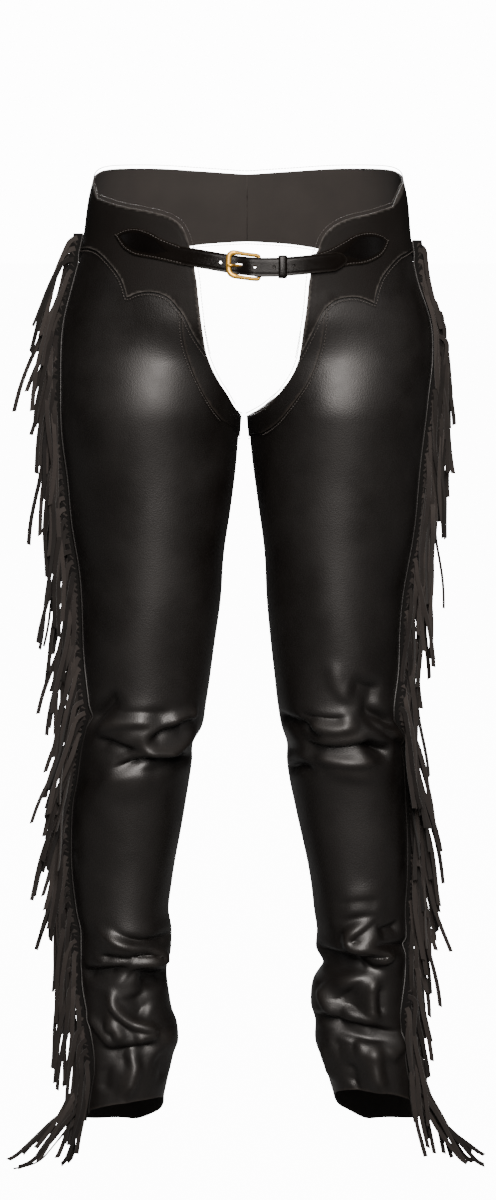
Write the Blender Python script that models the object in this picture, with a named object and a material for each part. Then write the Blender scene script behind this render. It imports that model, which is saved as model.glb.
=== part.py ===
"""Fringed leather riding chaps, as worn: two wrapped legs, a scalloped yoke over each hip, an edging
down each thigh opening, a front belt with a brass buckle, and a fringe down each outer seam.

Sizes are in millimetres and become metres where a mesh is made. The front faces -Y and the left leg is at
+X. The origin is the middle of the hips at the height of the belt, where the chaps are held up.

Every leather panel is cut from one chart of the worn surface. Across the chart, turn runs from -1 to 1: 0
is the centre front, 0.5 the outer side and 1 the centre back, and it is negative on the right. On a leg,
0 and 1 are both the inner thigh, where the chart joins itself. Up the chart is the height. Panels that
lie on each other use the same points of the chart, moved out along the surface's normal, so they stay
parallel.
"""

import math

import bpy
import numpy as np
from mathutils.geometry import delaunay_2d_cdt

METRES = 0.001
RIGHT, LEFT = -1, 1
SIDE_NAMES = {RIGHT: "right", LEFT: "left"}

# Thickness of each leather, and the gap between pieces that touch.
GAP = 0.3
LEG_WALL = 1.6
EDGING = 1.2
YOKE = 2.0
STRAP = 2.0

# How far out of the leg's inside face each layer starts.
ON_LEG = LEG_WALL + GAP
ON_EDGING = ON_LEG + EDGING + GAP
ON_YOKE = ON_LEG + YOKE + GAP
ON_STRAP = ON_YOKE + STRAP + GAP

# The form they keep: how far the surface lies from the middle, to the outer side and the inner side of
# each leg, and to the front and the back. Above the crotch the two legs' rings turn into one ring round
# the hips.
# Columns: height, outer, inner, front, back.
SECTIONS = {
    RIGHT: np.array([
        (110, 150, 0, 99, 106),
        (66, 161, 0, 103, 111),
        (25, 167, 0, 106, 119),
        (-17, 178, 0, 110, 129),
        (-60, 189, 2, 114, 134),
        (-100, 193, 4, 114, 132),
        (-142, 194, 7, 111, 124),
        (-184, 192, 12, 107, 113),
        (-226, 186, 17, 102, 104),
        (-268, 181, 21, 98, 97),
        (-310, 176, 26, 94, 90),
        (-352, 174, 29, 90, 84),
        (-394, 172, 34, 87, 78),
        (-437, 170, 40, 84, 72),
        (-462, 170, 44, 83, 69),
        (-485, 172, 48, 82, 67),
        (-503, 174, 58, 78, 69),
        (-522, 176, 60, 75, 73),
        (-543, 179, 64, 71, 78),
        (-564, 183, 68, 67, 82),
        (-607, 184, 74, 61, 87),
        (-650, 183, 80, 56, 85),
        (-682, 180, 84, 54, 81),
        (-704, 176, 81, 55, 79),
        (-725, 176, 82, 56, 77),
        (-747, 177, 87, 51, 74),
        (-779, 176, 84, 52, 76),
        (-817, 175, 77, 57, 80),
        (-844, 176, 81, 57, 82),
        (-866, 178, 86, 56, 84),
        (-887, 179, 90, 57, 87),
        (-910, 179, 90, 58, 91),
        (-945, 177, 91, 60, 95),
    ], float),
    LEFT: np.array([
        (110, 153, 0, 99, 106),
        (66, 163, 0, 103, 111),
        (25, 167, 0, 106, 119),
        (-17, 175, 0, 110, 129),
        (-60, 189, 0, 114, 134),
        (-100, 192, 0, 114, 132),
        (-142, 188, 1, 111, 124),
        (-184, 183, 6, 107, 113),
        (-226, 178, 12, 102, 104),
        (-268, 173, 16, 98, 97),
        (-310, 168, 20, 94, 90),
        (-352, 163, 22, 90, 84),
        (-394, 160, 25, 87, 78),
        (-437, 160, 30, 84, 72),
        (-462, 160, 33, 83, 69),
        (-485, 162, 37, 82, 67),
        (-503, 163, 43, 78, 69),
        (-522, 165, 44, 75, 73),
        (-543, 166, 48, 71, 78),
        (-564, 167, 53, 67, 82),
        (-607, 168, 61, 61, 87),
        (-650, 168, 68, 56, 85),
        (-682, 167, 72, 54, 81),
        (-704, 168, 75, 55, 79),
        (-720, 168, 74, 55, 77),
        (-738, 168, 82, 50, 74),
        (-757, 169, 72, 52, 75),
        (-779, 170, 70, 53, 76),
        (-801, 171, 75, 52, 78),
        (-817, 174, 74, 57, 80),
        (-844, 178, 82, 57, 82),
        (-866, 182, 89, 57, 84),
        (-887, 186, 95, 57, 87),
        (-910, 189, 97, 58, 91),
        (-945, 190, 98, 60, 95),
    ], float),
}
HIPS_SQUARENESS = 2.25
LEGS_JOIN = (-157.0, -50.0)

# The largest folds of the worn leather: a soft ridge, or a trough where the depth is negative. The slant
# is the angle by which a fold rises towards the outer side, the reach is half its length, and the width
# is half its breadth.
FOLD_COLUMNS = ("turn", "height", "slant", "reach", "width", "depth")
FOLDS = {
    RIGHT: np.array([
        (0.37, -461, -30, 30, 9, -5),
        (0.24, -483, -15, 50, 10, 4),
        (0.14, -490, -22, 40, 8, -4),
        (0.15, -508, -10, 40, 8, 5),
        (0.32, -505, 8, 40, 8, -4),
        (0.20, -522, -5, 55, 7, -5),
        (0.26, -538, -6, 50, 12, 3),
        (0.73, -472, 5, 62, 9, -5),
        (0.80, -490, -6, 55, 9, 4),
        (0.70, -508, 8, 60, 8, -5),
        (0.27, -712, 20, 46, 8, 5),
        (0.12, -729, 0, 34, 8, 6),
        (0.24, -738, -3, 44, 7, -7),
        (0.34, -748, 2, 32, 8, -5),
        (0.13, -755, 0, 30, 7, -7),
        (0.29, -782, 78, 30, 9, 4),
        (0.10, -813, 14, 34, 10, 6),
        (0.25, -832, -4, 50, 8, -6),
        (0.24, -862, 86, 32, 9, 4),
        (0.74, -716, -6, 60, 10, 5),
        (0.66, -742, 6, 52, 9, -6),
        (0.84, -760, -8, 46, 10, 5),
        (0.72, -806, 5, 60, 10, 6),
        (0.78, -834, -5, 56, 9, -6),
        (0.70, -876, 70, 34, 12, 4),
    ], float),
    LEFT: np.array([
        (0.32, -448, 0, 34, 8, -4),
        (0.34, -467, -25, 26, 9, -5),
        (0.24, -487, 0, 40, 10, 5),
        (0.13, -489, -36, 32, 8, -4),
        (0.25, -507, -4, 60, 7, -5),
        (0.35, -493, -30, 34, 9, 4),
        (0.26, -524, -8, 42, 9, 5),
        (0.10, -520, -8, 28, 9, -3),
        (0.76, -468, -6, 60, 9, -5),
        (0.68, -487, 7, 56, 9, 4),
        (0.78, -505, -4, 62, 8, -5),
        (0.27, -656, 12, 46, 12, 3),
        (0.23, -684, 8, 38, 8, -4),
        (0.26, -706, 30, 30, 9, 5),
        (0.20, -730, -12, 54, 8, -8),
        (0.21, -750, -4, 48, 10, 5),
        (0.27, -779, 84, 34, 9, 3),
        (0.16, -780, 78, 32, 12, -5),
        (0.24, -806, -12, 60, 7, -6),
        (0.24, -823, -5, 56, 9, 5),
        (0.27, -851, -84, 32, 9, 4),
        (0.16, -852, 80, 30, 12, -4),
        (0.72, -700, 6, 60, 10, 5),
        (0.80, -728, -6, 54, 9, -7),
        (0.66, -752, 8, 48, 10, 5),
        (0.76, -800, -5, 60, 9, -6),
        (0.70, -826, 6, 56, 10, 6),
        (0.82, -874, 70, 34, 12, 4),
    ], float),
}

# The outer seam, which carries the fringe: how far round the leg it lies at each height.
# Columns: height, turn.
SEAMS = {
    RIGHT: np.array([
        (40, 0.497), (0, 0.49), (-50, 0.478), (-180, 0.466), (-350, 0.462), (-420, 0.455), (-465, 0.425),
        (-520, 0.455), (-600, 0.474), (-680, 0.466), (-740, 0.436), (-790, 0.398), (-845, 0.372),
        (-880, 0.382), (-920, 0.402),
    ]),
    LEFT: np.array([
        (40, 0.497), (0, 0.49), (-50, 0.478), (-180, 0.47), (-350, 0.466), (-420, 0.45), (-465, 0.418),
        (-520, 0.455), (-600, 0.474), (-690, 0.474), (-740, 0.44), (-795, 0.395), (-845, 0.395),
        (-880, 0.405), (-920, 0.425),
    ]),
}
# The hem. Columns: turn, height.
HEMS = {
    RIGHT: np.array([
        (0.0, -884), (0.12, -876), (0.25, -878), (0.36, -887), (0.45, -898), (0.55, -913), (0.66, -926),
        (0.78, -929), (0.9, -912), (1.0, -884),
    ]),
    LEFT: np.array([
        (0.0, -884), (0.1, -869), (0.22, -865), (0.33, -871), (0.42, -884), (0.52, -905), (0.64, -924),
        (0.78, -929), (0.9, -908), (1.0, -884),
    ]),
}

# Outlines in the front view, across and height, on the right and the left.
THIGH_OPENING = {
    RIGHT: [(-42, -88), (-37, -104), (-30, -119), (-21, -133), (-14, -146)],
    LEFT: [(54, -93), (50, -106), (44, -118), (35, -130), (23, -143), (12, -152)],
}
CROTCH_HEIGHT = -158.0
YOKE_FRONT_EDGE = {
    RIGHT: [(-42, -88), (-46, -59), (-49, -34), (-51, -14), (-54, 4), (-58, 23)],
    LEFT: [(54, -93), (57, -65), (60, -44), (63, -14), (66, 4), (71, 16)],
}
YOKE_TOP_FRONT = {
    RIGHT: [(-58, 23), (-62, 34), (-68, 43), (-79, 50), (-98, 55), (-129, 61), (-151, 68)],
    LEFT: [(71, 16), (76, 29), (85, 39), (100, 47), (125, 53), (147, 60)],
}
YOKE_TIP_SCALLOP = {
    RIGHT: [(-42, -88), (-53, -70), (-62, -53), (-70, -42), (-80, -32), (-94, -27), (-109, -28), (-121, -33)],
    LEFT: [(54, -93), (64, -70), (73, -52), (80, -42), (90, -35), (105, -32), (117, -34), (128, -39)],
}
YOKE_HIP_SCALLOP = {
    RIGHT: [(-121, -33), (-125, -19), (-131, -8), (-141, 4), (-151, 13), (-160, 16)],
    LEFT: [(128, -39), (131, -26), (136, -13), (145, -1), (154, 8), (160, 11)],
}
LEG_TOP_FRONT = {
    RIGHT: [(-51, -14), (-80, -12), (-105, -11), (-120, 0), (-134, 20), (-148, 30)],
    LEFT: [(63, -14), (88, -14), (112, -14), (126, -6), (138, 14), (150, 26)],
}
EDGING_LINE = {
    RIGHT: [(-66, -36), (-66, -60), (-64, -80), (-58, -104), (-50, -124), (-39, -143), (-27, -158)],
    LEFT: [(80, -36), (78, -60), (75, -84), (69, -107), (59, -126), (46, -144), (30, -162), (16, -173)],
}

# Outlines on the hidden side, turn and height, plain and alike on both legs.
YOKE_TOP_BACK = [(0.47, 84), (0.54, 92), (0.64, 97), (0.8, 98), (0.92, 95), (1.0, 92)]
YOKE_SIDE_ARC = [(0.47, 15), (0.53, 4), (0.58, -16), (0.615, -40)]
YOKE_BACK_ARC = [(0.615, -40), (0.67, -22), (0.74, -6), (0.82, 7), (0.91, 16), (1.0, 20)]
LEG_TOP_BACK = [(0.5, 30), (0.57, 18), (0.62, -2), (0.68, 2)]
SEAT_EDGE = [(0.68, 2), (0.72, -32), (0.77, -80), (0.83, -124), (0.89, -150), (0.95, -158), (1.0, -158)]
SEAT_EDGING_LINE = [
    (0.66, -10), (0.685, -50), (0.735, -99), (0.8, -143), (0.87, -172), (0.94, -180), (1.0, -180)
]
EDGING_AT_CROTCH = -180.0
LEG_TOP_AT_SEAM = 32.0
SEAM_FOOT = -900.0
YOKE_CENTRE_BACK = (73.0, 55.0, 37.0)
# How far beyond the edging's edge the yoke has come down onto the leg.
YOKE_RAMP = 12.0

# The belt: its centre line across the front, and the leaf-shaped ends that are sewn to the yokes.
BELT_LINE = np.array([
    (-70, 11), (-43, 6.5), (-20, 2.5), (8, -1.2), (27, -1.4), (47, -0.2), (70, 2), (100, 5)
], float)
BELT_HALF = 9.5
BILLET_LEAF_TOP = [(-132, 31), (-123, 36), (-111, 38), (-98, 34.5), (-84, 27), (-66, 20)]
BILLET_LEAF_LOW = [(-132, 31), (-124, 18), (-113, 10.5), (-98, 7.5), (-82, 4.5), (-66, 0.6)]
BUCKLE_LEAF_TOP = [(142, 25), (133, 31.5), (121, 34), (108, 31.5), (95, 24), (80, 16), (63, 11)]
BUCKLE_LEAF_LOW = [(142, 25), (136, 12), (127, 5), (115, 1), (103, 0), (88, -3), (63, -8)]
BILLET_START = -66.0
BUCKLE_LEAF_START = 63.0
BILLET_SHOULDER = 88.0
BILLET_TIP = 99.0
BILLET_TIP_CORNER = 7.0
BILLET_TIP_ROUNDING = (6.5, -6.0)
# Where the right strap climbs from the bar onto the turned end of the left one.
BILLET_CLIMB = (-12.0, 6.0)
HOLES = (-26.5, 8.0, 27.0, 46.5)
HOLE_RADIUS = 1.9
PRONG_HOLE = (-13.5, -4.0)
PRONG_HOLE_HALF = 2.1
PRONG_HOLE_CORNER = 2.0

# The buckle: a round-ended frame with its bar inside the turned end of the left strap.
BAR_ACROSS = 12.0
FRAME_FRONT_ACROSS = -18.2
FRAME_WIRE = 1.8
FRAME_HALF = BELT_HALF + 0.5 + FRAME_WIRE
FRAME_CORNER = 6.0
FRAME_AROUND = 8
FRAME_BEND = 1.5
FRAME_SIDE = (9.0, 16.0)
PRONG_WIRE = 1.1
PRONG_MIDDLE = -5.0
# The prong's shank: how far across each station is, how far out of the yoke's outer side, and its radius.
PRONG_SHANK = (
    (5.5, -0.4, PRONG_WIRE),
    (-1.0, -0.7, 1.0),
    (-5.0, -0.4, 1.0),
    (-12.6, 3.5, 1.0),
    (-15.0, 7.1, 0.95),
    (-19.5, 7.2, 0.8),
)
TURN_START = 18.0
TURN_END = 30.0
# The turned end under the strap: how far across each station is, and how near it has come to the strap's
# back.
TURN_BACK = ((BAR_ACROSS + 1, 0.0), (TURN_START - 1, 0.6), (TURN_START + 4, 1.0), (TURN_END, 1.0))
# The first stations of the turned end, where the slot for the prong leaves its middle open.
SLOT_ROWS = 8
SLOT_HALF = 2.7
KEEPER_ACROSS = 35.5
KEEPER_HALF_WIDTH = 4.2
KEEPER_THICK = 1.4
KEEPER_EASE = 0.3
KEEPER_CROWN = (0.2, 0.4)

# The fringe: a strip held in the outer seam, cut into thongs.
STRIP_REACH = 9.0
STRIP_THICK = 1.5
STRIP_CLEAR = 0.3
THONG_WIDTH = 4.2
THONG_END_WIDTH = 3.8
THONGS = 82
FRINGE_TOP = {RIGHT: 29.0, LEFT: 22.0}
FRINGE_BOTTOM = {RIGHT: -899.0, LEFT: -893.0}
BEND_REACH = 15.0
LANES = (0.0, 13.0, -6.5, 6.5, -13.0)
SHIFTS = (0.0, 2.0, -2.0, 4.0, -4.0, 7.0, -7.0, 9.0, -9.0)
MORE_LEAN = 0.04
LOWEST_TIP = -947.0
CLEARANCE = 4.4
# Where the strip's foot steps out from the leg onto the yoke: the lowest height, and over what height.
STRIP_STEP = (-2.0, 14.0)
# How a thong bends over: how far its weight drops it, and the length that the bend takes, against the
# reach.
BEND_DROP = 1.15
BEND_LENGTH = 1.1
LANE_SPREAD = 0.004
# How the thongs' lengths vary down the fringe: each wave's share of the length, and its step from thong
# to thong.
LENGTH_WAVES = ((0.07, 2.3), (0.05, 0.61))
# How the thongs hang at each height of the fringe: the tangent of their lean outwards, and their length.
# Columns: height, lean, length.
HANG = {
    RIGHT: np.array([
        (40, 0.34, 96), (-30, 0.26, 112), (-80, 0.10, 116), (-119, 0.0, 112), (-214, 0.03, 112),
        (-255, 0.05, 112),
        (-310, 0.12, 112), (-407, 0.20, 114), (-447, 0.22, 112), (-511, 0.30, 112), (-576, 0.18, 112),
        (-646, 0.05, 112), (-709, 0.10, 112), (-782, 0.03, 110), (-830, 0.12, 104), (-860, 0.6, 92),
        (-900, 1.6, 80),
    ]),
    LEFT: np.array([
        (40, 0.14, 70), (-30, 0.04, 108), (-65, 0.02, 112), (-116, 0.08, 112), (-138, 0.03, 112),
        (-220, 0.0, 112),
        (-372, 0.0, 112), (-447, 0.10, 112), (-481, 0.18, 112), (-524, 0.15, 112), (-606, 0.14, 112),
        (-727, 0.11, 112), (-766, 0.06, 110), (-820, 0.12, 104), (-855, 0.6, 92), (-895, 1.4, 78),
    ]),
}

# The mesh: how many columns round each leg, and the heights of its rows, closer where the leather folds.
COLUMNS = 17
ROW_BANDS = (
    (96, -30, 6), (-30, -160, 6), (-160, -440, 8), (-440, -560, 10), (-560, -660, 3), (-660, -940, 22)
)
CHART_WIDTH = 500.0
OUTLINE_STEP = 17.0
FINE_OUTLINE_STEP = 9.0
SCALLOP_STEP = 11.0
CLEAR_OF_OUTLINE = 7.0


def smooth(table, at):
    """The columns of a table after its first, read at the first column's values on a smooth curve
    through its rows."""
    table = table if table[0, 0] < table[-1, 0] else table[::-1]
    keys, values = table[:, 0], table[:, 1:]
    steps = np.diff(keys)[:, None]
    slopes = np.diff(values, axis=0) / steps
    tangents = np.vstack([slopes[:1], (slopes[:-1] + slopes[1:]) / 2, slopes[-1:]])
    turning = np.vstack([slopes[:1] * 0 + 1, slopes[:-1] * slopes[1:], slopes[:1] * 0 + 1]) <= 0
    tangents[turning] = 0
    at = np.clip(np.asarray(at, float), keys[0], keys[-1])
    i = np.clip(np.searchsorted(keys, at) - 1, 0, len(steps) - 1)
    t = ((at - keys[i]) / steps[i, 0])[..., None]
    h = steps[i]
    return (
        (2 * t**3 - 3 * t**2 + 1) * values[i]
        + (t**3 - 2 * t**2 + t) * h * tangents[i]
        + (3 * t**2 - 2 * t**3) * values[i + 1]
        + (t**3 - t**2) * h * tangents[i + 1]
    )


def smoothstep(t):
    t = np.clip(t, 0, 1)
    return t * t * (3 - 2 * t)


def unit(v):
    return v / np.linalg.norm(v, axis=-1, keepdims=True)


def form(side, turn, height):
    """Points of the form, before the leather's folds."""
    outer, inner, front, back = smooth(SECTIONS[side], height).T
    leg_angle = 2 * math.pi * turn
    leg_x = (outer + inner) / 2 - (outer - inner) / 2 * np.cos(leg_angle)
    leg_y = -np.sin(leg_angle) * np.where(np.sin(leg_angle) > 0, front, back)
    hip_angle = math.pi * turn
    across, deep = np.sin(hip_angle), np.cos(hip_angle)
    power = 2 / HIPS_SQUARENESS
    hip_x = outer * np.sign(across) * np.abs(across) ** power
    hip_y = -np.sign(deep) * np.abs(deep) ** power * np.where(deep > 0, front, back)
    hips = smoothstep((height - LEGS_JOIN[0]) / (LEGS_JOIN[1] - LEGS_JOIN[0]))
    x = leg_x + (hip_x - leg_x) * hips
    y = leg_y + (hip_y - leg_y) * hips
    return np.stack([side * x, y, height], axis=-1)


def normals(surface, side, turn, height):
    """Outward unit normals of a surface, from points close to each side of each point."""
    turn_step, height_step = 0.002, 0.6
    across = surface(side, turn + turn_step, height) - surface(side, turn - turn_step, height)
    up = surface(side, turn, height + height_step) - surface(side, turn, height - height_step)
    return unit(np.cross(up, across)) * side * -1


def fold_depth(side, turn, height):
    """How far the folds lift the leather at each point of the chart."""
    outer, inner, front, back = smooth(SECTIONS[side], height).T
    girth = math.pi * np.sqrt(((outer - inner) ** 2 + (front + back) ** 2) / 2)
    lift = np.zeros(np.shape(turn))
    for row in FOLDS[side]:
        fold = dict(zip(FOLD_COLUMNS, row))
        round_it = ((turn - fold["turn"] + 0.5) % 1 - 0.5) * girth
        rise = height - fold["height"]
        slant = math.radians(fold["slant"])
        along = round_it * math.cos(slant) + rise * math.sin(slant)
        across = rise * math.cos(slant) - round_it * math.sin(slant)
        fading = np.clip(1 - (along / fold["reach"]) ** 2, 0, 1) ** 2
        lift += fold["depth"] * np.exp(-((across / fold["width"]) ** 2)) * fading
    return lift


def leather(side, turn, height):
    """Points of the inside face of the worn leather."""
    depth = fold_depth(side, turn, height)[..., None]
    return form(side, turn, height) + normals(form, side, turn, height) * depth


def place(side, turn, height, out):
    """Points of the chart in space, that far out of the leather's inside face."""
    turn, height = np.asarray(turn, float), np.asarray(height, float)
    out = np.broadcast_to(np.asarray(out, float), turn.shape)
    return leather(side, turn, height) + normals(leather, side, turn, height) * out[..., None]


def turn_at(side, across, height):
    """How far round the chart a point of the front view lies."""
    low, high = np.zeros(np.shape(across)), np.full(np.shape(across), 0.5)
    for _ in range(40):
        middle = (low + high) / 2
        short = np.abs(form(side, middle, height)[..., 0]) < np.abs(across)
        short = np.where(np.sign(across) == -side, True, short)
        low, high = np.where(short, middle, low), np.where(short, high, middle)
    return (low + high) / 2


def side_of(across):
    return RIGHT if across < 0 else LEFT


def front_place(across, height, out):
    """One point of the front view in space, that far out of the worn surface."""
    side = side_of(across)
    across, height = np.array([float(across)]), np.array([float(height)])
    return place(side, turn_at(side, across, height), height, out)[0]


def curve(points, step=OUTLINE_STEP):
    """A smooth curve through some points, as points about a step apart."""
    points = np.array(points, float)
    ends = np.vstack([2 * points[0] - points[1], points, 2 * points[-1] - points[-2]])
    fine = []
    for a, b, c, d in zip(ends[:-3], ends[1:-2], ends[2:-1], ends[3:]):
        t = np.linspace(0, 1, 12, endpoint=False)[:, None]
        fine.append(
            0.5 * (2 * b + (c - a) * t + (2 * a - 5 * b + 4 * c - d) * t**2 + (3 * b - a - 3 * c + d) * t**3)
        )
    fine = np.vstack([*fine, points[-1:]])
    along = np.concatenate([[0], np.cumsum(np.linalg.norm(np.diff(fine, axis=0), axis=1))])
    at = np.linspace(0, along[-1], max(2, round(along[-1] / step) + 1))
    return np.stack([np.interp(at, along, fine[:, k]) for k in range(2)], axis=1)


def chart_of(turn, height, side):
    return np.stack([side * np.asarray(turn) * CHART_WIDTH, np.asarray(height)], axis=-1)


def front_outline(side, points, step=OUTLINE_STEP):
    """A curve of the front view as points of the chart."""
    line = curve(points, step)
    return chart_of(turn_at(side, line[:, 0], line[:, 1]), line[:, 1], side)


def back_outline(side, points, step=OUTLINE_STEP):
    """A curve given by turn and height as points of the chart."""
    scaled = curve([(turn * CHART_WIDTH, height) for turn, height in points], step)
    return scaled * (side, 1)


def joined(*lines):
    """One outline from several that run on from each other."""
    kept = [lines[0]]
    for line in lines[1:]:
        kept.append(line[1:] if np.linalg.norm(kept[-1][-1] - line[0]) < 0.5 else line)
    return np.vstack(kept)


def row_heights():
    rows = [np.linspace(top, bottom, count, endpoint=False) for top, bottom, count in ROW_BANDS]
    return np.concatenate([*rows, [ROW_BANDS[-1][1]]])


def seam_line(side, top, bottom, shift):
    """The outer seam down the chart, moved round by half the gap between its two edges."""
    heights = row_heights()
    heights = np.concatenate([[top], heights[(heights < top - 4) & (heights > bottom + 4)], [bottom]])
    turn = smooth(SEAMS[side], heights)[:, 0] + shift
    return chart_of(turn, heights, side)


def inner_line(side, turn, top, bottom):
    """The line down the inner thigh where the chart joins itself."""
    heights = row_heights()
    heights = np.concatenate([[top], heights[(heights < top - 4) & (heights > bottom + 4)], [bottom]])
    return chart_of(np.full(len(heights), turn), heights, side)


def hem_line(side, start, end):
    """The hem between two turns."""
    turns = np.linspace(start, end, max(2, round(abs(end - start) * CHART_WIDTH / OUTLINE_STEP) + 1))
    return chart_of(turns, smooth(HEMS[side], turns)[:, 0], side)


def hem_height(side, turn):
    return float(smooth(HEMS[side], np.array([turn]))[0, 0])


def seam_turn(side, height):
    return float(smooth(SEAMS[side], np.array([height]))[0, 0])


def front_edge(side, parts):
    """The yoke's front edge from its foot up, as far as the first one, two or three of its parts."""
    points = YOKE_FRONT_EDGE[side]
    cuts = ((0, 3), (2, 4), (3, len(points)))
    return joined(*(front_outline(side, points[start:end]) for start, end in cuts[:parts]))


def leg_lobes(side):
    """The leg's outline as a front and a back lobe, which meet down the inner thigh."""
    half_gap = GAP / 2 / CHART_WIDTH
    top_turn = seam_turn(side, LEG_TOP_AT_SEAM)
    foot = seam_turn(side, SEAM_FOOT)
    opening = front_outline(side, THIGH_OPENING[side])
    crotch = np.array([[0.0, CROTCH_HEIGHT]])
    top = joined(
        front_outline(side, LEG_TOP_FRONT[side]),
        chart_of([top_turn - half_gap], [LEG_TOP_AT_SEAM], side),
    )
    front = joined(
        crotch,
        opening[::-1],
        front_edge(side, 2),
        top,
        seam_line(side, LEG_TOP_AT_SEAM, hem_height(side, foot), -half_gap),
        hem_line(side, foot, 0.0)[1:],
        inner_line(side, 0.0, CROTCH_HEIGHT, hem_height(side, 0.0))[::-1],
    )
    back = joined(
        chart_of([top_turn + half_gap], [LEG_TOP_AT_SEAM], side),
        back_outline(side, LEG_TOP_BACK)[1:],
        back_outline(side, SEAT_EDGE),
        inner_line(side, 1.0, CROTCH_HEIGHT, hem_height(side, 1.0)),
        hem_line(side, 1.0, foot)[:-1],
        seam_line(side, LEG_TOP_AT_SEAM, hem_height(side, foot), half_gap)[::-1],
    )
    return front, back


def edging_lobes(side):
    """The edging down the thigh opening and round to the seat, in the same two lobes."""
    opening = front_outline(side, THIGH_OPENING[side])
    crotch = np.array([[0.0, CROTCH_HEIGHT]])
    low_crotch = np.array([[0.0, EDGING_AT_CROTCH]])
    front = joined(
        crotch,
        opening[::-1],
        front_edge(side, 1),
        front_outline(side, EDGING_LINE[side]),
        low_crotch,
    )
    back = joined(
        back_outline(side, SEAT_EDGE),
        back_outline(side, SEAT_EDGING_LINE)[::-1],
    )
    return front, back


def yoke_outline(side):
    centre_back = 1.0 - GAP / 2 / CHART_WIDTH
    top_back = back_outline(side, YOKE_TOP_BACK)
    low_back = back_outline(side, YOKE_BACK_ARC)
    for line in (top_back, low_back):
        line[-1, 0] = side * centre_back * CHART_WIDTH
    return joined(
        front_edge(side, 3),
        front_outline(side, YOKE_TOP_FRONT[side]),
        top_back,
        chart_of([centre_back] * len(YOKE_CENTRE_BACK), YOKE_CENTRE_BACK, side),
        low_back[::-1],
        back_outline(side, YOKE_SIDE_ARC)[::-1],
        front_outline(side, YOKE_HIP_SCALLOP[side], SCALLOP_STEP)[::-1],
        front_outline(side, YOKE_TIP_SCALLOP[side], SCALLOP_STEP)[::-1],
    )


def belt_height(across):
    return float(smooth(BELT_LINE, np.array([across]))[0, 0])


def to_chart(points):
    """Points of the front view on either side of the centre, as points of the chart."""
    placed = []
    for x, z in points:
        side, x, z = side_of(x), np.array([x]), np.array([z])
        placed.append(chart_of(turn_at(side, x, z), z, side)[0])
    return np.array(placed)


def belt_rail(start, end, shift):
    """A line along the belt, that far above its centre line, with its points where every such line has
    them."""
    low, high = min(start, end), max(start, end)
    first, last = math.ceil(low / FINE_OUTLINE_STEP), math.ceil(high / FINE_OUTLINE_STEP)
    shared = FINE_OUTLINE_STEP * np.arange(first, last)
    between = [x for x in shared if low + 2 < x < high - 2]
    across = [start, *(between if start < end else between[::-1]), end]
    return [(x, belt_height(x) + shift) for x in across]


def billet_outline():
    """The right strap: a leaf on the right yoke, the belt across the front, and a rounded tip."""
    tip = belt_height(BILLET_TIP)
    return to_chart([
        *curve(BILLET_LEAF_TOP, FINE_OUTLINE_STEP)[:-1],
        *belt_rail(BILLET_START, BILLET_SHOULDER, BELT_HALF),
        (BILLET_SHOULDER + BILLET_TIP_CORNER, tip + BILLET_TIP_ROUNDING[0]),
        (BILLET_TIP, tip),
        (BILLET_SHOULDER + BILLET_TIP_CORNER, tip + BILLET_TIP_ROUNDING[1]),
        *belt_rail(BILLET_SHOULDER, BILLET_START, -BELT_HALF),
        *curve(BILLET_LEAF_LOW, FINE_OUTLINE_STEP)[-2:0:-1],
    ])


def buckle_strap_outline():
    """The left strap: a leaf on the left yoke, narrowing to the belt, up to where it turns round the
    bar."""
    offsets = (SLOT_HALF, -SLOT_HALF)
    return to_chart([
        *curve(BUCKLE_LEAF_TOP, FINE_OUTLINE_STEP)[:-1],
        *belt_rail(BUCKLE_LEAF_START, TURN_START, BELT_HALF),
        *[(TURN_START, belt_height(TURN_START) + z) for z in offsets],
        *belt_rail(TURN_START, BUCKLE_LEAF_START, -BELT_HALF),
        *curve(BUCKLE_LEAF_LOW, FINE_OUTLINE_STEP)[-2:0:-1],
    ])


def hole_outlines():
    """The belt's round holes, and the longer one that the prong stands in."""
    holes = []
    for across in HOLES:
        corners = [math.pi / 4 * k for k in range(8)]
        centre = belt_height(across)
        holes.append(to_chart([
            (across + HOLE_RADIUS * math.cos(a), centre + HOLE_RADIUS * math.sin(a)) for a in corners
        ]))
    low, high = PRONG_HOLE
    middle = belt_height((low + high) / 2)
    holes.append(to_chart([
        (low, middle),
        (low + PRONG_HOLE_CORNER, middle - PRONG_HOLE_HALF),
        (high - PRONG_HOLE_CORNER, middle - PRONG_HOLE_HALF),
        (high, middle),
        (high - PRONG_HOLE_CORNER, middle + PRONG_HOLE_HALF),
        (low + PRONG_HOLE_CORNER, middle + PRONG_HOLE_HALF),
    ]))
    return holes


def inside(points, outline):
    """Which points lie within an outline."""
    x, y = points[:, 0][:, None], points[:, 1][:, None]
    a, b = outline, np.roll(outline, -1, axis=0)
    spans = (a[:, 1] > y) != (b[:, 1] > y)
    rise = np.where(b[:, 1] == a[:, 1], 1e-9, b[:, 1] - a[:, 1])
    return (spans & (x < a[:, 0] + (y - a[:, 1]) * (b[:, 0] - a[:, 0]) / rise)).sum(axis=1) % 2 == 1


def distance_to(points, outline):
    """How far each point lies from the nearest edge of an outline."""
    a, b = outline[None], np.roll(outline, -1, axis=0)[None]
    p = points[:, None]
    t = np.clip(((p - a) * (b - a)).sum(-1) / np.maximum(((b - a) ** 2).sum(-1), 1e-12), 0, 1)
    return np.linalg.norm(p - a - t[..., None] * (b - a), axis=-1).min(axis=1)


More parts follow.
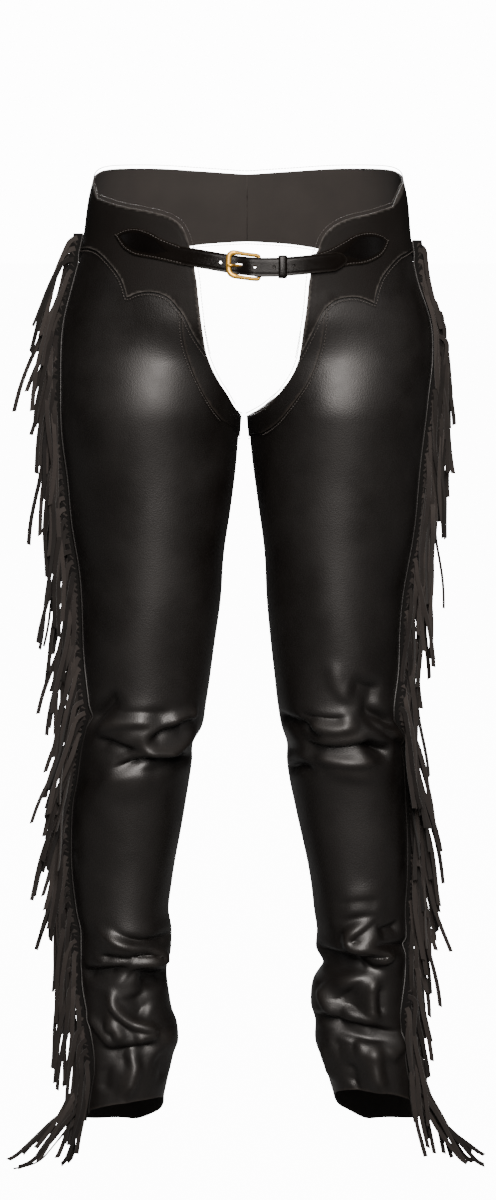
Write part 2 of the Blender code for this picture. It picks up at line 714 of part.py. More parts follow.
def cut_chart(outlines):
    """Triangles of the whole chart, with every outline among their edges: (points, triangles)."""
    heights = row_heights()
    turns = np.arange(-COLUMNS, COLUMNS + 1) / COLUMNS
    grid = np.array([(turn * CHART_WIDTH, z) for z in heights for turn in turns])
    near = np.min([distance_to(grid, outline) for outline in outlines], axis=0)
    grid = grid[near > CLEAR_OF_OUTLINE]
    points, edges = [*grid], []
    for outline in outlines:
        first, count = len(points), len(outline)
        points += [*outline]
        edges += [(first + k, first + (k + 1) % count) for k in range(count)]
    points, _, triangles, *_ = delaunay_2d_cdt([tuple(p) for p in points], edges, [], 0, 0.02)
    return np.array([tuple(p) for p in points]), np.array(triangles)


def link(name, points, faces, material):
    """A mesh object from points in millimetres."""
    mesh = bpy.data.meshes.new(name)
    mesh.from_pydata([tuple(p) for p in np.asarray(points) * METRES], [], [tuple(f) for f in faces])
    mesh.materials.append(material)
    mesh.update()
    made = bpy.data.objects.new(name, mesh)
    bpy.context.scene.collection.objects.link(made)
    return made


def closed_sheet(name, outer, inner, faces, material):
    """A sheet of leather: its outer face, its inner face, and a rim along every open edge."""
    count = len(outer)
    used = {}
    for face in faces:
        for a, b in zip(face, [*face[1:], face[0]]):
            used[(a, b)] = True
    rims = [(b, a, a + count, b + count) for a, b in used if (b, a) not in used]
    backs = [tuple(i + count for i in reversed(face)) for face in faces]
    made = link(name, np.vstack([outer, inner]), [*faces, *backs, *rims], material)
    made.data.shade_smooth()
    made.data.set_sharp_from_angle(angle=math.radians(50))
    return made


def compact(faces):
    """The faces with their points renumbered from 0, and the points' old numbers."""
    kept, where = np.unique(np.concatenate([list(f) for f in faces]), return_inverse=True)
    flat, start, renumbered = where.tolist(), 0, []
    for face in faces:
        renumbered.append(tuple(flat[start : start + len(face)]))
        start += len(face)
    return renumbered, kept


def facing_out(faces, outer, inner):
    """The faces with each one's order set so that it faces away from the inner points."""
    turned = []
    for face in faces:
        a, b, c = (outer[i] for i in face[:3])
        away = outer[face[0]] - inner[face[0]]
        turned.append(face if np.dot(np.cross(b - a, c - a), away) > 0 else tuple(reversed(face)))
    return turned


class Chart:
    """The cut chart, and what is asked of it to make a panel."""

    def __init__(self, outlines):
        self.points, self.triangles = cut_chart(outlines)
        self.centres = self.points[self.triangles].mean(axis=1)

    def within(self, outline):
        return inside(self.centres, outline)

    def place(self, side, out):
        """Every point of the chart in space, on one side's surface."""
        return place(side, np.abs(self.points[:, 0]) / CHART_WIDTH, self.points[:, 1], out)


def both_sides(chart, out):
    """Every point of the chart in space, each on its own side."""
    right, left = chart.place(RIGHT, out), chart.place(LEFT, out)
    return np.where(chart.points[:, :1] < 0, right, left)


def welded(points_a, points_b, faces):
    """The faces with points that lie together in space made one, as down the inner thigh."""
    _, first, index = np.unique(np.round(points_a, 3), axis=0, return_index=True, return_inverse=True)
    index = index.reshape(-1)
    return points_a[first], points_b[first], [tuple(int(index[i]) for i in face) for face in faces]


def leg_panel(chart, name, side, lobes, low, high, material):
    """A panel that wraps a leg, from its two lobes, between two distances out of the leather's inside
    face."""
    chosen = np.logical_or.reduce([chart.within(lobe) for lobe in lobes])
    faces, kept = compact([tuple(t) for t in chart.triangles[chosen]])
    outer, inner = chart.place(side, high)[kept], chart.place(side, low)[kept]
    outer, inner, faces = welded(outer, inner, faces)
    return closed_sheet(name, outer, inner, facing_out(faces, outer, inner), material)


def yoke_lift(chart, lobes):
    """How much further out the yoke lies where it passes over the edging."""
    over = EDGING + GAP
    lift = np.zeros(len(chart.points))
    for lobe in lobes:
        away = np.where(inside(chart.points, lobe), 0.0, distance_to(chart.points, lobe))
        lift = np.maximum(lift, over * smoothstep(1 - (away - 0.5) / YOKE_RAMP))
    return lift


def yoke_panel(chart, side, material):
    chosen = chart.within(yoke_outline(side))
    faces, kept = compact([tuple(t) for t in chart.triangles[chosen]])
    lift = yoke_lift(chart, edging_lobes(side))
    outer = chart.place(side, ON_LEG + lift + YOKE)[kept]
    inner = chart.place(side, ON_LEG + lift)[kept]
    return closed_sheet(f"yoke_{SIDE_NAMES[side]}", outer, inner, facing_out(faces, outer, inner), material)


def across_of(points):
    """How far across the front each point of the chart lies."""
    side = np.where(points[:, 0] < 0, RIGHT, LEFT)
    right = form(RIGHT, np.abs(points[:, 0]) / CHART_WIDTH, points[:, 1])[:, 0]
    left = form(LEFT, np.abs(points[:, 0]) / CHART_WIDTH, points[:, 1])[:, 0]
    return np.where(side == RIGHT, right, left)


def billet_rise(across):
    """How much further out the right strap lies once it has passed over the buckle's bar."""
    start, end = BILLET_CLIMB
    return (ON_STRAP - ON_YOKE) * smoothstep((np.asarray(across) - start) / (end - start))


def billet(chart, material):
    chosen = chart.within(billet_outline())
    for hole in hole_outlines():
        chosen &= ~chart.within(hole)
    faces, kept = compact([tuple(t) for t in chart.triangles[chosen]])
    rise = billet_rise(across_of(chart.points))
    outer = both_sides(chart, ON_YOKE + STRAP + rise)[kept]
    inner = both_sides(chart, ON_YOKE + rise)[kept]
    return closed_sheet("belt_billet", outer, inner, facing_out(faces, outer, inner), material)


def turned_end_rows():
    """Stations round the bar for the turned end of the left strap: where each lies across, and how far
    out, on the outer face and then on the inner face. The last four run back under the strap."""
    bar_out = ON_YOKE - FRAME_WIRE - GAP
    concave, convex = FRAME_WIRE + GAP, FRAME_WIRE + GAP + STRAP
    rows = [(BAR_ACROSS, ON_YOKE + STRAP, BAR_ACROSS, ON_YOKE)]
    for k in range(1, 6):
        angle = math.pi / 2 + math.pi * k / 6
        rows.append((
            BAR_ACROSS + convex * math.cos(angle),
            bar_out + convex * math.sin(angle),
            BAR_ACROSS + concave * math.cos(angle),
            bar_out + concave * math.sin(angle),
        ))
    for across, rise in TURN_BACK:
        face = bar_out - concave + rise * (ON_YOKE - GAP - bar_out + concave)
        rows.append((across, face - STRAP, across, face))
    return rows


def buckle_strap(chart, material):
    """The left strap, with its end turned round the bar and a slot there for the prong."""
    chosen = chart.within(buckle_strap_outline())
    faces, kept = compact([tuple(t) for t in chart.triangles[chosen]])
    outer = both_sides(chart, ON_YOKE + STRAP)[kept]
    inner = both_sides(chart, ON_YOKE)[kept]
    offsets = (BELT_HALF, SLOT_HALF, -SLOT_HALF, -BELT_HALF)
    ends = to_chart([(TURN_START, belt_height(TURN_START) + z) for z in offsets])
    last = [int(np.linalg.norm(chart.points[kept] - end, axis=1).argmin()) for end in ends]
    rows = turned_end_rows()
    for number, (outer_x, outer_out, inner_x, inner_out) in enumerate(rows):
        first = len(outer)
        shift = belt_height(BAR_ACROSS)
        outer = np.vstack([outer, [front_place(outer_x, shift + z, outer_out) for z in offsets]])
        inner = np.vstack([inner, [front_place(inner_x, shift + z, inner_out) for z in offsets]])
        row = [first + k for k in range(4)]
        for column in range(3):
            if column == 1 and number < SLOT_ROWS:
                continue
            faces.append((last[column], last[column + 1], row[column + 1], row[column]))
        last = row
    return closed_sheet("belt_buckle_strap", outer, inner, consistent(faces, outer, inner), material)


def consistent(faces, outer, inner):
    """The faces all facing away from the inner points, with those of the turned end judged by their
    thickness."""
    turned = []
    for face in faces:
        corners = outer[list(face)]
        spokes = corners[1:] - corners[0]
        normal = sum(np.cross(a, b) for a, b in zip(spokes[:-1], spokes[1:]))
        away = (corners - inner[list(face)]).mean(axis=0)
        turned.append(tuple(face) if np.dot(normal, away) > 0 else tuple(reversed(face)))
    return turned


def tube(name, line, radii, around, closed, material):
    """A round bar along a line, closed on itself or with flat ends."""
    line = np.array(line, float)
    if closed:
        ahead, behind = np.roll(line, -1, axis=0), np.roll(line, 1, axis=0)
    else:
        ahead, behind = np.vstack([line[1:], line[-1:]]), np.vstack([line[:1], line[:-1]])
    tangents = unit(ahead - behind)
    normal = unit(np.cross(np.cross(tangents[0], (0.0, -1.0, 0.2)), tangents[0]))
    points = []
    for centre, tangent, radius in zip(line, tangents, radii):
        normal = unit(normal - tangent * np.dot(normal, tangent))
        side = np.cross(tangent, normal)
        for k in range(around):
            angle = 2 * math.pi * (k + 0.5) / around
            points.append(centre + radius * (math.cos(angle) * normal + math.sin(angle) * side))
    count = len(line)
    faces = []
    for i in range(count if closed else count - 1):
        for k in range(around):
            a, b = i * around + k, i * around + (k + 1) % around
            c, d = ((i + 1) % count) * around + (k + 1) % around, ((i + 1) % count) * around + k
            faces.append((a, b, c, d))
    if not closed:
        faces.append(tuple(reversed(range(around))))
        faces.append(tuple(range((count - 1) * around, count * around)))
    made = link(name, points, faces, material)
    made.data.shade_smooth()
    return made


def frame_line():
    """The buckle frame's centre line: a straight bar, two sides and a round-cornered front."""
    bar_out = ON_YOKE - FRAME_WIRE - GAP
    front_out = ON_YOKE + STRAP + GAP + FRAME_WIRE
    length = BAR_ACROSS - FRAME_FRONT_ACROSS - FRAME_CORNER
    corners = [(BAR_ACROSS, z) for z in (-FRAME_HALF + FRAME_BEND, 0.0, FRAME_HALF - FRAME_BEND)]
    corners += [(BAR_ACROSS - reach, FRAME_HALF) for reach in (FRAME_BEND, *FRAME_SIDE)]
    for k in range(5):
        angle = math.pi / 2 + math.pi / 2 * k / 4
        corners.append((
            FRAME_FRONT_ACROSS + FRAME_CORNER + FRAME_CORNER * math.cos(angle),
            FRAME_HALF - FRAME_CORNER + FRAME_CORNER * math.sin(angle),
        ))
    corners += [(FRAME_FRONT_ACROSS, 0.0)]
    mirrored = [(x, -z) for x, z in reversed(corners[3:-1])]
    line = []
    for x, z in [*corners, *mirrored]:
        share = min(1.0, (BAR_ACROSS - x) / length)
        line.append(front_place(x, belt_height(x) + z, bar_out + share * (front_out - bar_out)))
    return line


def buckle(material):
    line = frame_line()
    tube("buckle_frame", line, [FRAME_WIRE] * len(line), FRAME_AROUND, True, material)


def prong(material):
    """The prong: an eye bent round the bar, and a tapered shank up through the belt and onto the
    frame."""
    bar_out = ON_YOKE - FRAME_WIRE - GAP
    middle = belt_height(PRONG_MIDDLE)
    eye = FRAME_WIRE + GAP + PRONG_WIRE
    stations = []
    for k in range(7):
        angle = math.radians(-150 + k * 50)
        stations.append((BAR_ACROSS + eye * math.cos(angle), bar_out + eye * math.sin(angle), PRONG_WIRE))
    stations += [(x, ON_YOKE + out, radius) for x, out, radius in PRONG_SHANK]
    line = [front_place(x, middle, out) for x, out, _ in stations]
    tube("buckle_prong", line, [radius for *_, radius in stations], 6, False, material)


def keeper(material):
    """The loop that holds the two straps together past the buckle."""
    low, high = ON_YOKE - GAP, ON_STRAP + STRAP + GAP
    reach = BELT_HALF + GAP + KEEPER_EASE
    middle = belt_height(KEEPER_ACROSS)
    inner_ring = [
        (reach, low), (reach, high), (0.0, high + KEEPER_CROWN[0]),
        (-reach, high), (-reach, low), (0.0, low),
    ]
    thick = KEEPER_THICK
    outer_ring = [
        (reach + thick, low - thick), (reach + thick, high + thick), (0.0, high + thick + KEEPER_CROWN[1]),
        (-reach - thick, high + thick), (-reach - thick, low - thick), (0.0, low - thick),
    ]
    points = []
    for across in (KEEPER_ACROSS - KEEPER_HALF_WIDTH, KEEPER_ACROSS + KEEPER_HALF_WIDTH):
        for ring in (outer_ring, inner_ring):
            points += [front_place(across, middle + z, out) for z, out in ring]
    count = len(inner_ring)
    faces = []
    for k in range(count):
        j = (k + 1) % count
        near_outer, near_inner, far_outer, far_inner = 0, count, 2 * count, 3 * count
        faces.append((near_outer + k, near_outer + j, far_outer + j, far_outer + k))
        faces.append((near_inner + j, near_inner + k, far_inner + k, far_inner + j))
        faces.append((near_outer + j, near_outer + k, near_inner + k, near_inner + j))
        faces.append((far_outer + k, far_outer + j, far_inner + j, far_inner + k))
    link("belt_keeper", points, faces, material)


def seam_frames(side, heights):
    """For each height: the foot of the fringe strip at the seam, the way out, and the way round."""
    turns = smooth(SEAMS[side], heights)[:, 0]
    rows = row_heights()
    over_yoke = smoothstep((rows - STRIP_STEP[0]) / STRIP_STEP[1])
    seam = place(side, smooth(SEAMS[side], rows)[:, 0], rows, ON_LEG + STRIP_CLEAR + over_yoke * (YOKE + GAP))
    feet = np.stack([np.interp(heights, rows[::-1], seam[::-1, k]) for k in range(3)], axis=1)
    out = normals(form, side, turns, heights) + np.array([side * 1.0, 0.0, 0.0])
    out[:, 2] = 0
    out = unit(out)
    round_it = np.cross(out, (0.0, 0.0, 1.0))
    return feet, out, round_it


def thong_line(root, out, round_it, lane, lean, length):
    """A thong's centre line: out of the strip, bent down by its weight, and on down at its lean."""
    droop = math.pi / 2 - math.atan(lean)
    points = []
    for share in (0.0, 0.5, 1.0):
        angle = droop * share
        reach = BEND_REACH * math.sin(angle)
        drop = BEND_REACH * (1 - math.cos(angle)) * BEND_DROP
        points.append(root + out * reach + round_it * lane * smoothstep(share) - np.array([0, 0, drop]))
    bend = droop * BEND_REACH * BEND_LENGTH
    down = unit(out * lean + round_it * lane * LANE_SPREAD - np.array([0, 0, 1.0]))
    left = length - bend
    points.append(points[-1] + down * left)
    return np.array(points)


def nearest(line, others):
    """The smallest distance between one thong's line and those already hung."""
    if not others:
        return 99.0
    fine = np.vstack([a + (b - a) * t for a, b in zip(line[:-1], line[1:]) for t in np.linspace(0, 1, 5)])
    placed = np.vstack(others)
    return float(np.linalg.norm(fine[4:, None] - placed[None], axis=-1).min())


def thong_lines(side):
    """Every thong of one fringe, hung from the top down, each clear of those before it."""
    pitch = (FRINGE_TOP[side] - FRINGE_BOTTOM[side]) / THONGS
    heights = FRINGE_TOP[side] - pitch * (np.arange(THONGS) + 0.5)
    feet, outs, rounds = seam_frames(side, heights)
    leans, lengths = smooth(HANG[side], heights).T
    lines, placed = [], []
    for k in range(THONGS):
        root = feet[k] + outs[k] * STRIP_REACH
        lane = LANES[k % len(LANES)]
        length = lengths[k] * (1 + sum(share * math.sin(step * k) for share, step in LENGTH_WAVES))
        best = None
        for step in range(3 * len(SHIFTS)):
            shift = SHIFTS[step % len(SHIFTS)]
            lean = leans[k] + MORE_LEAN * (step // len(SHIFTS))
            reach = length / math.hypot(1, lean)
            room = root[2] - LOWEST_TIP
            cut = length * min(1.0, room / reach)
            line = thong_line(root, outs[k], rounds[k], lane + shift, lean, cut)
            clear = nearest(line, placed)
            if best is None or clear > best[0]:
                best = (clear, line)
            if clear > CLEARANCE:
                break
        lines.append(best[1])
        fine = [a + (b - a) * t for a, b in zip(best[1][:-1], best[1][1:]) for t in np.linspace(0, 1, 9)]
        placed.append(np.array(fine)[6:])
    return heights, outs, rounds, lines


def thong_rings(line, out, round_it):
    """The corners of a thong along its line: upright where it leaves the strip, turned flat where it
    hangs."""
    rings = []
    steps = len(line) - 1
    for k in range(1, len(line)):
        tangent = unit(line[min(k + 1, steps)] - line[k - 1])
        upright = unit(np.cross(round_it, tangent))
        flat = unit(round_it - tangent * np.dot(round_it, tangent))
        twist = math.pi / 2 * min(1.0, k / 2)
        wide = math.cos(twist) * upright + math.sin(twist) * flat
        thick = np.cross(tangent, wide)
        width = THONG_WIDTH + (THONG_END_WIDTH - THONG_WIDTH) * k / steps
        across, through = wide * width / 2, thick * STRIP_THICK / 2
        rings.append([line[k] + across * a + through * b for a, b in ((1, 1), (1, -1), (-1, -1), (-1, 1))])
    return rings


def fringe(side, material):
    """One fringe: a strip down the outer seam whose outer edge runs on into the thongs."""
    heights, outs, rounds, lines = thong_lines(side)
    rows = np.sort(np.concatenate([heights + THONG_WIDTH / 2, heights - THONG_WIDTH / 2]))[::-1]
    rows = np.concatenate([[rows[0] + 2.0], rows, [rows[-1] - 2.0]])
    feet, out, round_it = seam_frames(side, rows)
    points = []
    for foot, way, turn in zip(feet, out, round_it):
        half = turn * STRIP_THICK / 2
        edge = foot + way * STRIP_REACH
        points += [foot - half, foot + half, edge + half, edge - half]
    faces = [(3, 2, 1, 0)]
    for k in range(len(rows) - 1):
        a, b = 4 * k, 4 * (k + 1)
        for i in range(4):
            j = (i + 1) % 4
            if i == 2 and k % 2 == 1:
                continue
            faces.append((a + i, a + j, b + j, b + i))
    last = 4 * (len(rows) - 1)
    faces.append((last, last + 1, last + 2, last + 3))
    for number, line in enumerate(lines):
        top, low = 4 * (2 * number + 1), 4 * (2 * number + 2)
        ring = [top + 2, top + 3, low + 3, low + 2]
        for corners in thong_rings(line, outs[number], rounds[number]):
            first = len(points)
            points += corners
            new = [first + k for k in range(4)]
            for k in range(4):
                j = (k + 1) % 4
                faces.append((ring[k], ring[j], new[j], new[k]))
            ring = new
        faces.append(tuple(ring))
    faces = [tuple(reversed(face)) for face in faces]
    return link(f"fringe_{SIDE_NAMES[side]}", points, faces, material)


def material(name, colour, roughness, metallic=0.0):
    made = bpy.data.materials.new(name)
    made.use_nodes = True
    shader = made.node_tree.nodes["Principled BSDF"]
    shader.inputs["Base Color"].default_value = (*colour, 1.0)
    shader.inputs["Roughness"].default_value = roughness
    shader.inputs["Metallic"].default_value = metallic
    return made


def main():
    for obj in list(bpy.data.objects):
        bpy.data.objects.remove(obj)
    leg_leather = material("leg_leather", (0.018, 0.014, 0.013), 0.42)
    yoke_leather = material("yoke_leather", (0.035, 0.027, 0.025), 0.55)
    belt_leather = material("belt_leather", (0.012, 0.010, 0.010), 0.5)
    suede = material("fringe_suede", (0.045, 0.038, 0.036), 0.95)
    brass = material("brass", (0.78, 0.53, 0.16), 0.28, 1.0)

    sides = (RIGHT, LEFT)
    outlines = []
    for side in sides:
        outlines += [*leg_lobes(side), *edging_lobes(side), yoke_outline(side)]
    chart = Chart([*outlines, billet_outline(), buckle_strap_outline(), *hole_outlines()])
    for side in sides:
        name = SIDE_NAMES[side]
        leg_panel(chart, f"leg_{name}", side, leg_lobes(side), 0.0, LEG_WALL, leg_leather)
        leg_panel(
            chart, f"thigh_edging_{name}", side, edging_lobes(side), ON_LEG, ON_LEG + EDGING, leg_leather
        )
        yoke_panel(chart, side, yoke_leather)
        fringe(side, suede)
    billet(chart, belt_leather)
    buckle_strap(chart, belt_leather)
    keeper(belt_leather)
    buckle(brass)
    prong(brass)


main()
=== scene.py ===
"""The looks of the fringed riding chaps: leather legs, edgings, yokes, belt, brass buckle and suede fringe.

Sizes are in millimetres and become metres where a mesh is made. The front faces -Y and the left leg is at +X.
"""

import math

import bpy
import numpy as np
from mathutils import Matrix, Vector
from mathutils.geometry import delaunay_2d_cdt


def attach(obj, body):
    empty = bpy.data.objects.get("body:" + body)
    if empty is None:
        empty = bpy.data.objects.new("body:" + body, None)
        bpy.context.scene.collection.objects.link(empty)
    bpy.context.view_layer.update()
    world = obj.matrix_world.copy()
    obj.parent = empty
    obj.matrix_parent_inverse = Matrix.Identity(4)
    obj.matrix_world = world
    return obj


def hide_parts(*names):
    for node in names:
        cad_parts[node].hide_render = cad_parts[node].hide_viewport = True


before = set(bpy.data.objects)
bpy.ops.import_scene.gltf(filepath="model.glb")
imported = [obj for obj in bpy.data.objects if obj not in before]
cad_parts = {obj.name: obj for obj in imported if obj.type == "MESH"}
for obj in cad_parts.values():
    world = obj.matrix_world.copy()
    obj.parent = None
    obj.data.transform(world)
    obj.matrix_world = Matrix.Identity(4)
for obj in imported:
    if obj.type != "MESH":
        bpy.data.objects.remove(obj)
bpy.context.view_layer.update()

# The legs
#
# Each leg is one panel of soft black leather, about 1.6 mm thick, wrapped round and sewn to itself down
# the outer seam. It lies smooth over the thigh, and gathers in creases at the knee and the ankle.

# All its points are given by how far round the leg they lie, from 0 at the inner thigh or centre front
# through 0.5 at the outer side to 1 at the back, and by their height.
METRES = 0.001
RIGHT, LEFT = -1, 1
SIDE_NAMES = {RIGHT: "right", LEFT: "left"}
GAP = 0.3
LEG_WALL = 1.6
ON_LEG = LEG_WALL + GAP

# Columns: height, outer side, inner side, front, back.
LEG_FORM = {
    RIGHT: np.array([
        (110, 150, 0, 99, 106),
        (66, 161, 0, 103, 111),
        (25, 167, 0, 106, 119),
        (-17, 178, 0, 110, 129),
        (-60, 189, 2, 114, 134),
        (-100, 193, 4, 114, 132),
        (-142, 194, 7, 111, 124),
        (-184, 192, 12, 107, 113),
        (-226, 186, 17, 102, 104),
        (-268, 181, 21, 98, 97),
        (-310, 176, 26, 94, 90),
        (-352, 174, 29, 90, 84),
        (-394, 172, 34, 87, 78),
        (-437, 170, 40, 84, 72),
        (-462, 170, 44, 83, 69),
        (-485, 172, 48, 82, 67),
        (-503, 174, 58, 78, 69),
        (-522, 176, 60, 75, 73),
        (-543, 179, 64, 71, 78),
        (-564, 183, 68, 67, 82),
        (-607, 184, 74, 61, 87),
        (-650, 183, 80, 56, 85),
        (-682, 180, 84, 54, 81),
        (-704, 176, 81, 55, 79),
        (-725, 176, 82, 56, 77),
        (-747, 177, 87, 51, 74),
        (-779, 176, 84, 52, 76),
        (-817, 175, 77, 57, 80),
        (-844, 176, 81, 57, 82),
        (-866, 178, 86, 56, 84),
        (-887, 179, 90, 57, 87),
        (-910, 179, 90, 58, 91),
        (-945, 177, 91, 60, 95),
    ], float),
    LEFT: np.array([
        (110, 153, 0, 99, 106),
        (66, 163, 0, 103, 111),
        (25, 167, 0, 106, 119),
        (-17, 175, 0, 110, 129),
        (-60, 189, 0, 114, 134),
        (-100, 192, 0, 114, 132),
        (-142, 188, 1, 111, 124),
        (-184, 183, 6, 107, 113),
        (-226, 178, 12, 102, 104),
        (-268, 173, 16, 98, 97),
        (-310, 168, 20, 94, 90),
        (-352, 163, 22, 90, 84),
        (-394, 160, 25, 87, 78),
        (-437, 160, 30, 84, 72),
        (-462, 160, 33, 83, 69),
        (-485, 162, 37, 82, 67),
        (-503, 163, 43, 78, 69),
        (-522, 165, 44, 75, 73),
        (-543, 166, 48, 71, 78),
        (-564, 167, 53, 67, 82),
        (-607, 168, 61, 61, 87),
        (-650, 168, 68, 56, 85),
        (-682, 167, 72, 54, 81),
        (-704, 168, 75, 55, 79),
        (-720, 168, 74, 55, 77),
        (-738, 168, 82, 50, 74),
        (-757, 169, 72, 52, 75),
        (-779, 170, 70, 53, 76),
        (-801, 171, 75, 52, 78),
        (-817, 174, 74, 57, 80),
        (-844, 178, 82, 57, 82),
        (-866, 182, 89, 57, 84),
        (-887, 186, 95, 57, 87),
        (-910, 189, 97, 58, 91),
        (-945, 190, 98, 60, 95),
    ], float),
}
HIPS_SQUARENESS = 2.25
# Between these heights the two legs' rings turn into one ring round the hips.
LEGS_JOIN = (-157.0, -50.0)

# The gathers of the worn leather, as long soft folds: a ridge, or a trough where the depth is negative.
GATHER_COLUMNS = ("turn", "height", "slant", "reach", "width", "depth")
GATHERS = {
    RIGHT: np.array([
        (0.37, -461, -30, 30, 9, -5),
        (0.24, -483, -15, 50, 10, 4),
        (0.14, -490, -22, 40, 8, -4),
        (0.15, -508, -10, 40, 8, 5),
        (0.32, -505, 8, 40, 8, -4),
        (0.20, -522, -5, 55, 7, -5),
        (0.26, -538, -6, 50, 12, 3),
        (0.73, -472, 5, 62, 9, -5),
        (0.80, -490, -6, 55, 9, 4),
        (0.70, -508, 8, 60, 8, -5),
        (0.27, -712, 20, 46, 8, 5),
        (0.12, -729, 0, 34, 8, 6),
        (0.24, -738, -3, 44, 7, -7),
        (0.34, -748, 2, 32, 8, -5),
        (0.13, -755, 0, 30, 7, -7),
        (0.29, -782, 78, 30, 9, 4),
        (0.10, -813, 14, 34, 10, 6),
        (0.25, -832, -4, 50, 8, -6),
        (0.24, -862, 86, 32, 9, 4),
        (0.74, -716, -6, 60, 10, 5),
        (0.66, -742, 6, 52, 9, -6),
        (0.84, -760, -8, 46, 10, 5),
        (0.72, -806, 5, 60, 10, 6),
        (0.78, -834, -5, 56, 9, -6),
        (0.70, -876, 70, 34, 12, 4),
    ], float),
    LEFT: np.array([
        (0.32, -448, 0, 34, 8, -4),
        (0.34, -467, -25, 26, 9, -5),
        (0.24, -487, 0, 40, 10, 5),
        (0.13, -489, -36, 32, 8, -4),
        (0.25, -507, -4, 60, 7, -5),
        (0.35, -493, -30, 34, 9, 4),
        (0.26, -524, -8, 42, 9, 5),
        (0.10, -520, -8, 28, 9, -3),
        (0.76, -468, -6, 60, 9, -5),
        (0.68, -487, 7, 56, 9, 4),
        (0.78, -505, -4, 62, 8, -5),
        (0.27, -656, 12, 46, 12, 3),
        (0.23, -684, 8, 38, 8, -4),
        (0.26, -706, 30, 30, 9, 5),
        (0.20, -730, -12, 54, 8, -8),
        (0.21, -750, -4, 48, 10, 5),
        (0.27, -779, 84, 34, 9, 3),
        (0.16, -780, 78, 32, 12, -5),
        (0.24, -806, -12, 60, 7, -6),
        (0.24, -823, -5, 56, 9, 5),
        (0.27, -851, -84, 32, 9, 4),
        (0.16, -852, 80, 30, 12, -4),
        (0.72, -700, 6, 60, 10, 5),
        (0.80, -728, -6, 54, 9, -7),
        (0.66, -752, 8, 48, 10, 5),
        (0.76, -800, -5, 60, 9, -6),
        (0.70, -826, 6, 56, 10, 6),
        (0.82, -874, 70, 34, 12, 4),
    ], float),
}
